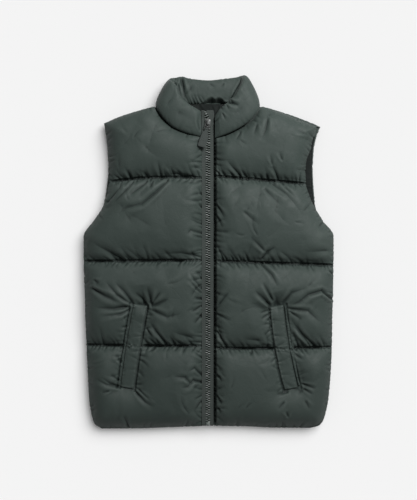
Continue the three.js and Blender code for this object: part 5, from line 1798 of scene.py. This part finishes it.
def buildZipBox():
    # the retainer at the foot of the zip
    outer = rounded([(-4.4, -4), (4.4, -4), (4.4, 3.6), (2.2, 4.2), (-2.2, 4.2), (-4.4, 3.6)], 1.2)
    parts = [bevelledPlate(outer, -2.6, 2.6, 0.5),
             bevelledPlate(rounded([(-2.6, -2.6), (2.6, -2.6), (2.6, 1.2), (-2.6, 1.2)], 0.6), 2.3, 2.9, 0.2)]
    points, faces = joined(parts)
    points += np.array([zipLine["x"], -375.9, zipLine["level"]])
    piece = meshObject("zip_box_moulded", points, faces, mend=True)
    dress(piece, "vest", ["zip_box"], teethPlastic)


tooth = toothStamp()
for side in ("right", "left"):
    stitchLines.append(buildTape(side))
    buildTeeth(side, tooth)
buildSlider()
buildZipBox()
ringPlace, tabPlace = pullPlace()
buildRing(ringPlace)
tabStitches = buildTab(tabPlace)

# stitching
sewing = {"pitch": 3.4, "long": 2.7, "radius": 0.28, "tabPitch": 2.6}
stitch = stitchStamp(sewing["long"], sewing["radius"])
seams = stamped("seam_stitches", stitchLines, stitch, sewing["pitch"], 0.08, 3, threadNylon)
dress(seams, "vest", [], None)
tabSeams = stamped("tab_stitches", tabStitches, stitch, sewing["tabPitch"], 0.05, 4, threadNylon)
dress(tabSeams, "tab", [], None)


# room, light and camera
room = {
    "floorColor": (0.9, 0.9, 0.9, 1), "skyStrength": 0.2, "sunStrength": 3.08, "sunWay": (0.38, 0.45, 0.85),
    "sunAngle": 52, "lampAt": (0.72, 1.0, 1.45), "lampSize": 0.6, "lampPower": 35.5,
    "lens": 70, "cameraAt": (-0.0002, 0.0052, 2.1485),
}


def buildFloor():
    floorMesh = bpy.data.meshes.new("studio_floor")
    size, low = 6, -0.0005
    corners = [(-size, -size, low), (size, -size, low), (size, size, low), (-size, size, low)]
    floorMesh.from_pydata(corners, [], [(0, 1, 2, 3)])
    floor = inScene("studio_floor", floorMesh)
    paint, tree, skin, _ = startMaterial("floor_paint")
    fillIn(tree, skin, {"Base Color": room["floorColor"], "Roughness": 0.9, "Specular IOR Level": 0.1})
    floor.data.materials.append(paint)
    return floor


def buildLight(name, kind, way, strength, lit):
    # a light that shines from that way on the things in lit and on nothing else
    data = bpy.data.lights.new(name, kind)
    data.energy = strength
    light = inScene(name, data)
    light.rotation_euler = Vector(way).to_track_quat("Z", "Y").to_euler()
    group = bpy.data.collections.new(f"{name}_lights")
    for thing in lit:
        group.objects.link(thing)
    light.light_linking.receiver_collection = group
    return light


def buildRoom():
    scene = bpy.context.scene
    scene.view_settings.view_transform = "Standard"
    pieces = [item for item in scene.objects if item.type == "MESH"]
    floor = buildFloor()
    world = bpy.data.worlds.new("studio_air")
    world.use_nodes = True
    sky = {"Color": (1, 1, 1, 1), "Strength": room["skyStrength"]}
    fillIn(world.node_tree, world.node_tree.nodes["Background"], sky)
    scene.world = world
    # an even light for the floor and its shadows
    sun = buildLight("floor_light", "SUN", room["sunWay"], room["sunStrength"], [floor])
    sun.data.angle = math.radians(room["sunAngle"])
    # a soft box near the collar for the vest itself, brighter at the top right than at the bottom left
    lamp = buildLight("soft_box", "AREA", room["lampAt"], room["lampPower"], pieces)
    lamp.data.shape = "SQUARE"
    lamp.data.size = room["lampSize"]
    lamp.location = room["lampAt"]
    lens = bpy.data.cameras.new("photo_camera")
    lens.lens = room["lens"]
    lens.sensor_width = 36
    camera = inScene("photo_camera", lens)  # unturned, so that it looks straight down
    camera.location = room["cameraAt"]
    scene.camera = camera
    print("the floor, the lights and the camera are in place")


buildRoom()
